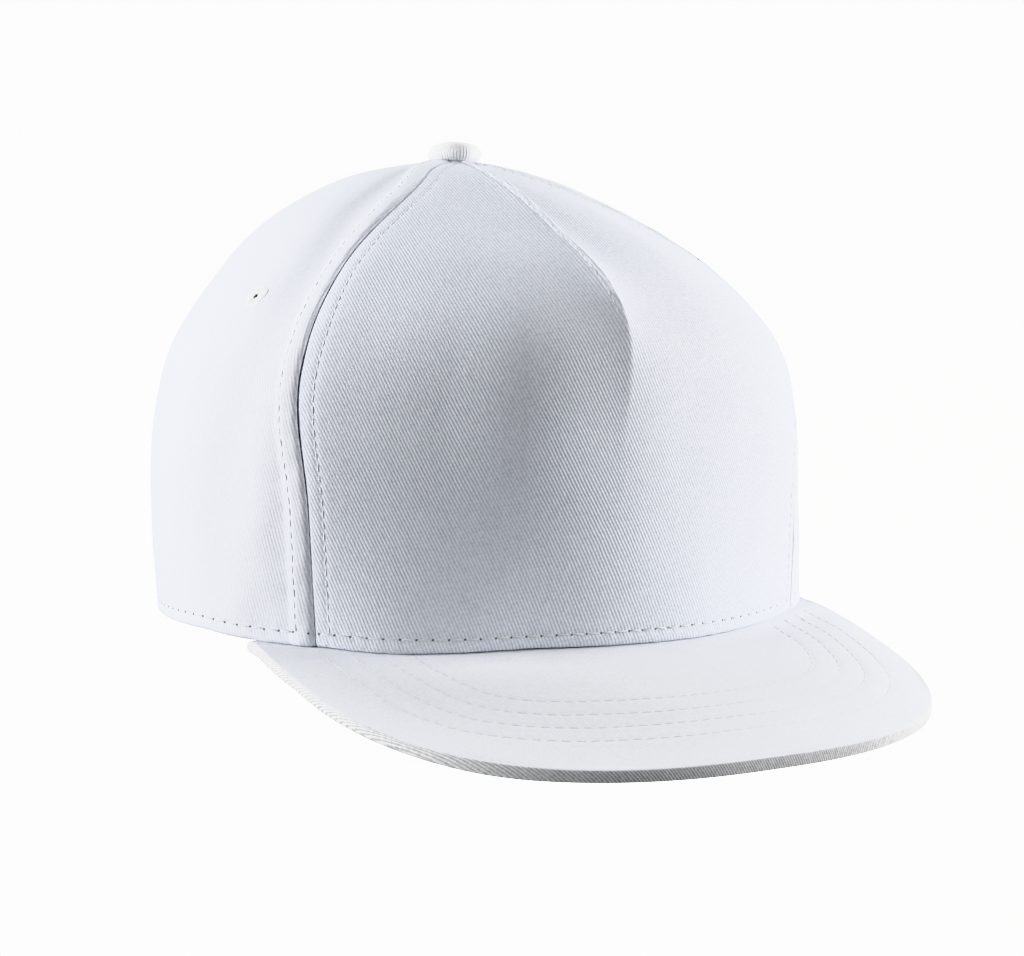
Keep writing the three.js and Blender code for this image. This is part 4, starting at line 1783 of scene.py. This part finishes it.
@dataclass
class Sweatband:
    """The folded band inside the lower edge."""

    height: float = 30.0
    wall: float = 1.2
    inset: float = 2.6
    lift: float = 0.8
    strap_wall: float = 1.5
    # distances from the middle of the back: its ends, where it is drawn in for the straps, and where that starts
    ends: tuple = (41.0, 50.0, 66.0)
    cloth: TwillFinish = TwillFinish(
        "band_weave", rib_spacing=0.9 * MM, rib_angle=math.radians(90.0), rib_depth=0.08 * MM
    )

    def build(self) -> None:
        """Builds the band, drawn in at its ends so that the straps pass behind it."""
        piece, across, up = add_grid("sweatband_cloth", 300, 20)
        end, strap_end, clear = CROWN.turn_at_back(np.array(self.ends), np.zeros(3))
        turn = (across * 2.0 - 1.0) * end
        rise = up * float(CROWN.rise_at(np.array([self.height]))[0])
        behind = settle(np.abs(turn), clear, strap_end) * (self.strap_wall + 0.7)
        roll = rounded(up * self.height, 0.7) + rounded((1 - up) * self.height, 0.7)
        ripple = 0.12 * np.sin(turn * 37 + up * 2) + 0.08 * np.sin(turn * 61)
        points = CROWN.point(turn, rise, -(self.inset + behind + roll + ripple), 0.35)
        points[:, 2] += np.clip(1.0 - points[:, 2] / self.height, 0.0, 1.0) * self.lift
        move_to(piece, CROWN.placed(points))
        u = CROWN.arc(np.zeros_like(turn), turn, rise, True)
        lay_uv(piece, np.stack([u, up * self.height], axis=1) * MM)
        apply_modifier(piece, "SOLIDIFY", thickness=self.wall * MM, offset=-1.0)
        smooth(piece, 60.0)
        dress(piece, self.cloth, "sweatband_cloth", "sweatband")


@dataclass
class SnapClosure:
    """The two plastic straps, snapped together across the half-moon opening."""

    width: float = 19.0
    wall: float = 1.5
    lower_edge: float = 1.8
    overlap: float = 22.0
    end: float = 48.0
    inset: float = 2.75
    pegs: int = 5
    pitch: float = 9.6
    peg_radius: float = 2.1
    # inset and lift of each step of a peg's head
    peg_steps: tuple = ((0.35, -0.3), (0.25, 0.25), (0.7, 0.15))
    # rounding of a strap's corners as a share of its width, and the step at which it bends
    end_round: float = 0.3
    step: float = 1.5
    plastic: PlasticFinish = PlasticFinish()

    def bent(self, points: Array) -> Array:
        """Bends flat points round the back of the crown.

        Args:
            points: along the strap from the middle of the back, up it, and outwards from its inner face.

        Returns:
            The points on the cap, in metres.
        """
        along, up, out = points.T
        rise = CROWN.rise_at(self.lower_edge + up)
        turn = np.where(along < 0, -1.0, 1.0) * CROWN.turn_at_back(np.abs(along), rise)
        level = np.zeros_like(rise)
        skin = CROWN.skin(turn, rise) + CROWN.normal(turn, level) * (out - self.inset - self.wall)[:, None]
        skin[:, 2] = self.lower_edge + up
        return CROWN.placed(skin)

    def strip(self, name: str, start: float, stop: float, out: float) -> Piece:
        """One flat strap with rounded ends and edges, cut across at short steps so that it can bend.

        Args:
            name: name of the piece.
            start: where it starts along the back.
            stop: where it stops.
            out: how far out its inner face lies.

        Returns:
            The piece.
        """
        middle = ((start + stop) / 2, self.width / 2, out + self.wall / 2)
        piece = primitive(bpy.ops.mesh.primitive_cube_add, name, size=1.0, location=middle)
        piece.scale = (stop - start, self.width, self.wall)
        bpy.ops.object.transform_apply(location=True, rotation=False, scale=True)
        corners = piece.data.vertices
        edit(piece, Element.EDGE, lambda edge: np.ptp([corners[i].co.z for i in edge.vertices]) > self.wall / 2)
        bpy.ops.mesh.bevel(offset=self.width * self.end_round, segments=8, affect="EDGES")
        bpy.ops.object.mode_set(mode="OBJECT")
        apply_modifier(piece, "BEVEL", width=0.35, segments=3, limit_method="ANGLE", angle_limit=math.radians(50))
        activate(piece)
        bpy.ops.object.mode_set(mode="EDIT")
        for at in np.arange(start + self.step, stop, self.step):
            bpy.ops.mesh.select_all(action="SELECT")
            bpy.ops.mesh.bisect(plane_co=(float(at), 0.0, 0.0), plane_no=(1.0, 0.0, 0.0))
        bpy.ops.object.mode_set(mode="OBJECT")
        return piece

    def peg(self, at: float, out: float) -> Piece:
        """One peg: a short post with a domed head in a shallow ring.

        Args:
            at: its place along the back.
            out: how far out its foot lies.

        Returns:
            The piece.
        """
        middle = (at, self.width / 2, out + 0.5)
        sizes = {"vertices": 40, "radius": self.peg_radius, "depth": 1.0, "location": middle}
        piece = primitive(bpy.ops.mesh.primitive_cylinder_add, "peg", **sizes)
        bpy.ops.object.transform_apply(location=True, rotation=False, scale=False)
        edit(piece, Element.FACE, lambda face: face.normal.z > 0.9)
        for inset, lift in self.peg_steps:
            bpy.ops.mesh.inset(thickness=inset)
            bpy.ops.transform.translate(value=(0.0, 0.0, lift))
        bpy.ops.object.mode_set(mode="OBJECT")
        return piece

    def build(self) -> None:
        """Builds both straps with their pegs, as one piece."""
        inner = self.strip("snap_closure_straps", -self.end, self.overlap, 0.0)
        outer = self.strip("outer", -self.overlap, self.end, self.wall - 0.05)
        parts = [inner, outer]
        for i in range(self.pegs):
            parts.append(self.peg((i - (self.pegs - 1) / 2) * self.pitch, 2 * self.wall - 0.25))
        activate(inner)
        for part in parts:
            part.select_set(True)
        bpy.ops.object.join()
        piece = bpy.context.object
        move_to(piece, self.bent(coordinates(piece)))
        smooth(piece, 40.0)
        dress(piece, self.plastic, "snap_plastic", "snap_closure")


# Studio


@dataclass
class Lamp:
    """A soft box: where it stands, what it faces, how large and how strong it is."""

    name: str
    place: tuple
    size: float
    power: float
    colour: tuple = (1.0, 1.0, 1.0)
    target: tuple = (0.0, 0.0, 0.07)

    def build(self) -> None:
        """Adds the light."""
        data = bpy.data.lights.new(self.name, "AREA")
        data.shape = "SQUARE"
        data.size = self.size
        data.energy = self.power
        data.color = self.colour
        lamp = bpy.data.objects.new(self.name, data)
        lamp.location = self.place
        away = Vector(self.place) - Vector(self.target)
        lamp.rotation_mode = "QUATERNION"
        lamp.rotation_quaternion = away.to_track_quat("Z", "Y")
        bpy.context.scene.collection.objects.link(lamp)


@dataclass
class Studio:
    """A pale sweep, soft light from both sides, and the camera at the picture's angle."""

    camera_place: tuple = (-0.25051, -0.45786, 0.13702)
    camera_axes: tuple = (
        (0.8855080, 0.0284655, -0.4637513),
        (-0.4615259, 0.1689636, -0.8708875),
        (0.0535668, 0.9852112, 0.1627562),
    )
    focal_pixels: float = 1780.59
    image_width: float = 1024.0
    sensor: float = 36.0
    world_colour: tuple = (0.93, 0.96, 1.0)
    world_strength: float = 0.02
    floor: FloorFinish = FloorFinish()
    # the floor's width, its length, where it starts to bend up, the bend's radius and its turn on plan
    sweep: tuple = (16.0, 44.0, 3.0, 2.0, math.radians(-28.0))
    lamps: tuple = (
        Lamp("right_key", (1.275, -0.225, 0.183), 0.6, 34.0, (1.0, 0.965, 0.92)),
        Lamp("right_fill", (0.903, -0.757, 0.619), 0.6, 9.4),
        Lamp("left_key", (-1.251, 0.335, 0.183), 0.6, 26.8, (1.0, 0.98, 0.955)),
        Lamp("left_fill", (-1.295, 0.0, 0.183), 0.6, 5.3),
        Lamp("left_high", (-0.65, 0.0, 1.196), 0.6, 1.7),
        Lamp("back_high", (0.0, 0.836, 1.066), 0.6, 10.8),
    )

    def build(self) -> None:
        """Builds the floor, the lights, the world and the camera."""
        self.build_sweep()
        for lamp in self.lamps:
            lamp.build()
        self.build_world()
        bpy.context.scene.view_settings.view_transform = "Khronos PBR Neutral"
        bpy.context.scene.view_settings.look = "None"
        self.build_camera()

    def build_world(self) -> None:
        """Builds a world that gives faint light and is seen as pale as the floor."""
        world = bpy.data.worlds.new("studio")
        world.use_nodes = True
        nodes = Nodes(world.node_tree)
        seen = nodes.add("LightPath").outputs["Is Camera Ray"]
        strength = nodes.math("MULTIPLY_ADD", seen, self.floor.glow, self.world_strength)
        inputs = {"Color": (*self.world_colour, 1.0), "Strength": strength}
        nodes.feed(world.node_tree.nodes["Background"], inputs)
        bpy.context.scene.world = world

    def build_sweep(self) -> None:
        """Builds a floor that curves up into a backdrop far ahead and far behind."""
        cuts = {"x_subdivisions": 4, "y_subdivisions": 120}
        sweep = primitive(bpy.ops.mesh.primitive_grid_add, "studio_sweep", **cuts, size=1.0)
        flat = coordinates(sweep)
        width, length, bend, radius, turn = self.sweep
        run, side = np.abs(flat[:, 1]) * length / 2.0, np.sign(flat[:, 1])
        angle = np.clip((run - bend) / radius, 0.0, np.pi / 2)
        reach = side * np.where(run < bend, run, bend + radius * np.sin(angle))
        height = radius * (1.0 - np.cos(angle)) + np.maximum(run - bend - radius * np.pi / 2, 0.0)
        points = np.stack([flat[:, 0] * width, reach, height], axis=1)
        move_to(sweep, points @ np.array(Matrix.Rotation(turn, 3, "Z")).T)
        smooth(sweep)
        material = self.floor.material()
        material.cycles.emission_sampling = "NONE"
        sweep.data.materials.append(material)

    def build_camera(self) -> None:
        """Builds the camera from its place, its axes and its focal length in pixels."""
        data = bpy.data.cameras.new("view")
        data.sensor_width = self.sensor
        data.lens = self.focal_pixels / self.image_width * self.sensor
        data.clip_start, data.clip_end = 0.02, 60.0
        camera = bpy.data.objects.new("view", data)
        camera.matrix_world = Matrix.Translation(self.camera_place) @ Matrix(self.camera_axes).to_4x4()
        bpy.context.scene.collection.objects.link(camera)
        bpy.context.scene.camera = camera


def main() -> None:
    """Builds the cap and its studio."""
    logging.basicConfig(level=logging.INFO, format="%(message)s")
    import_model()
    Peak().build()
    Crown().build()
    for eyelet in EYELETS:
        eyelet.build()
    Button().build()
    Sweatband().build()
    SnapClosure().build()
    Studio().build()


if __name__ == "__main__":
    main()
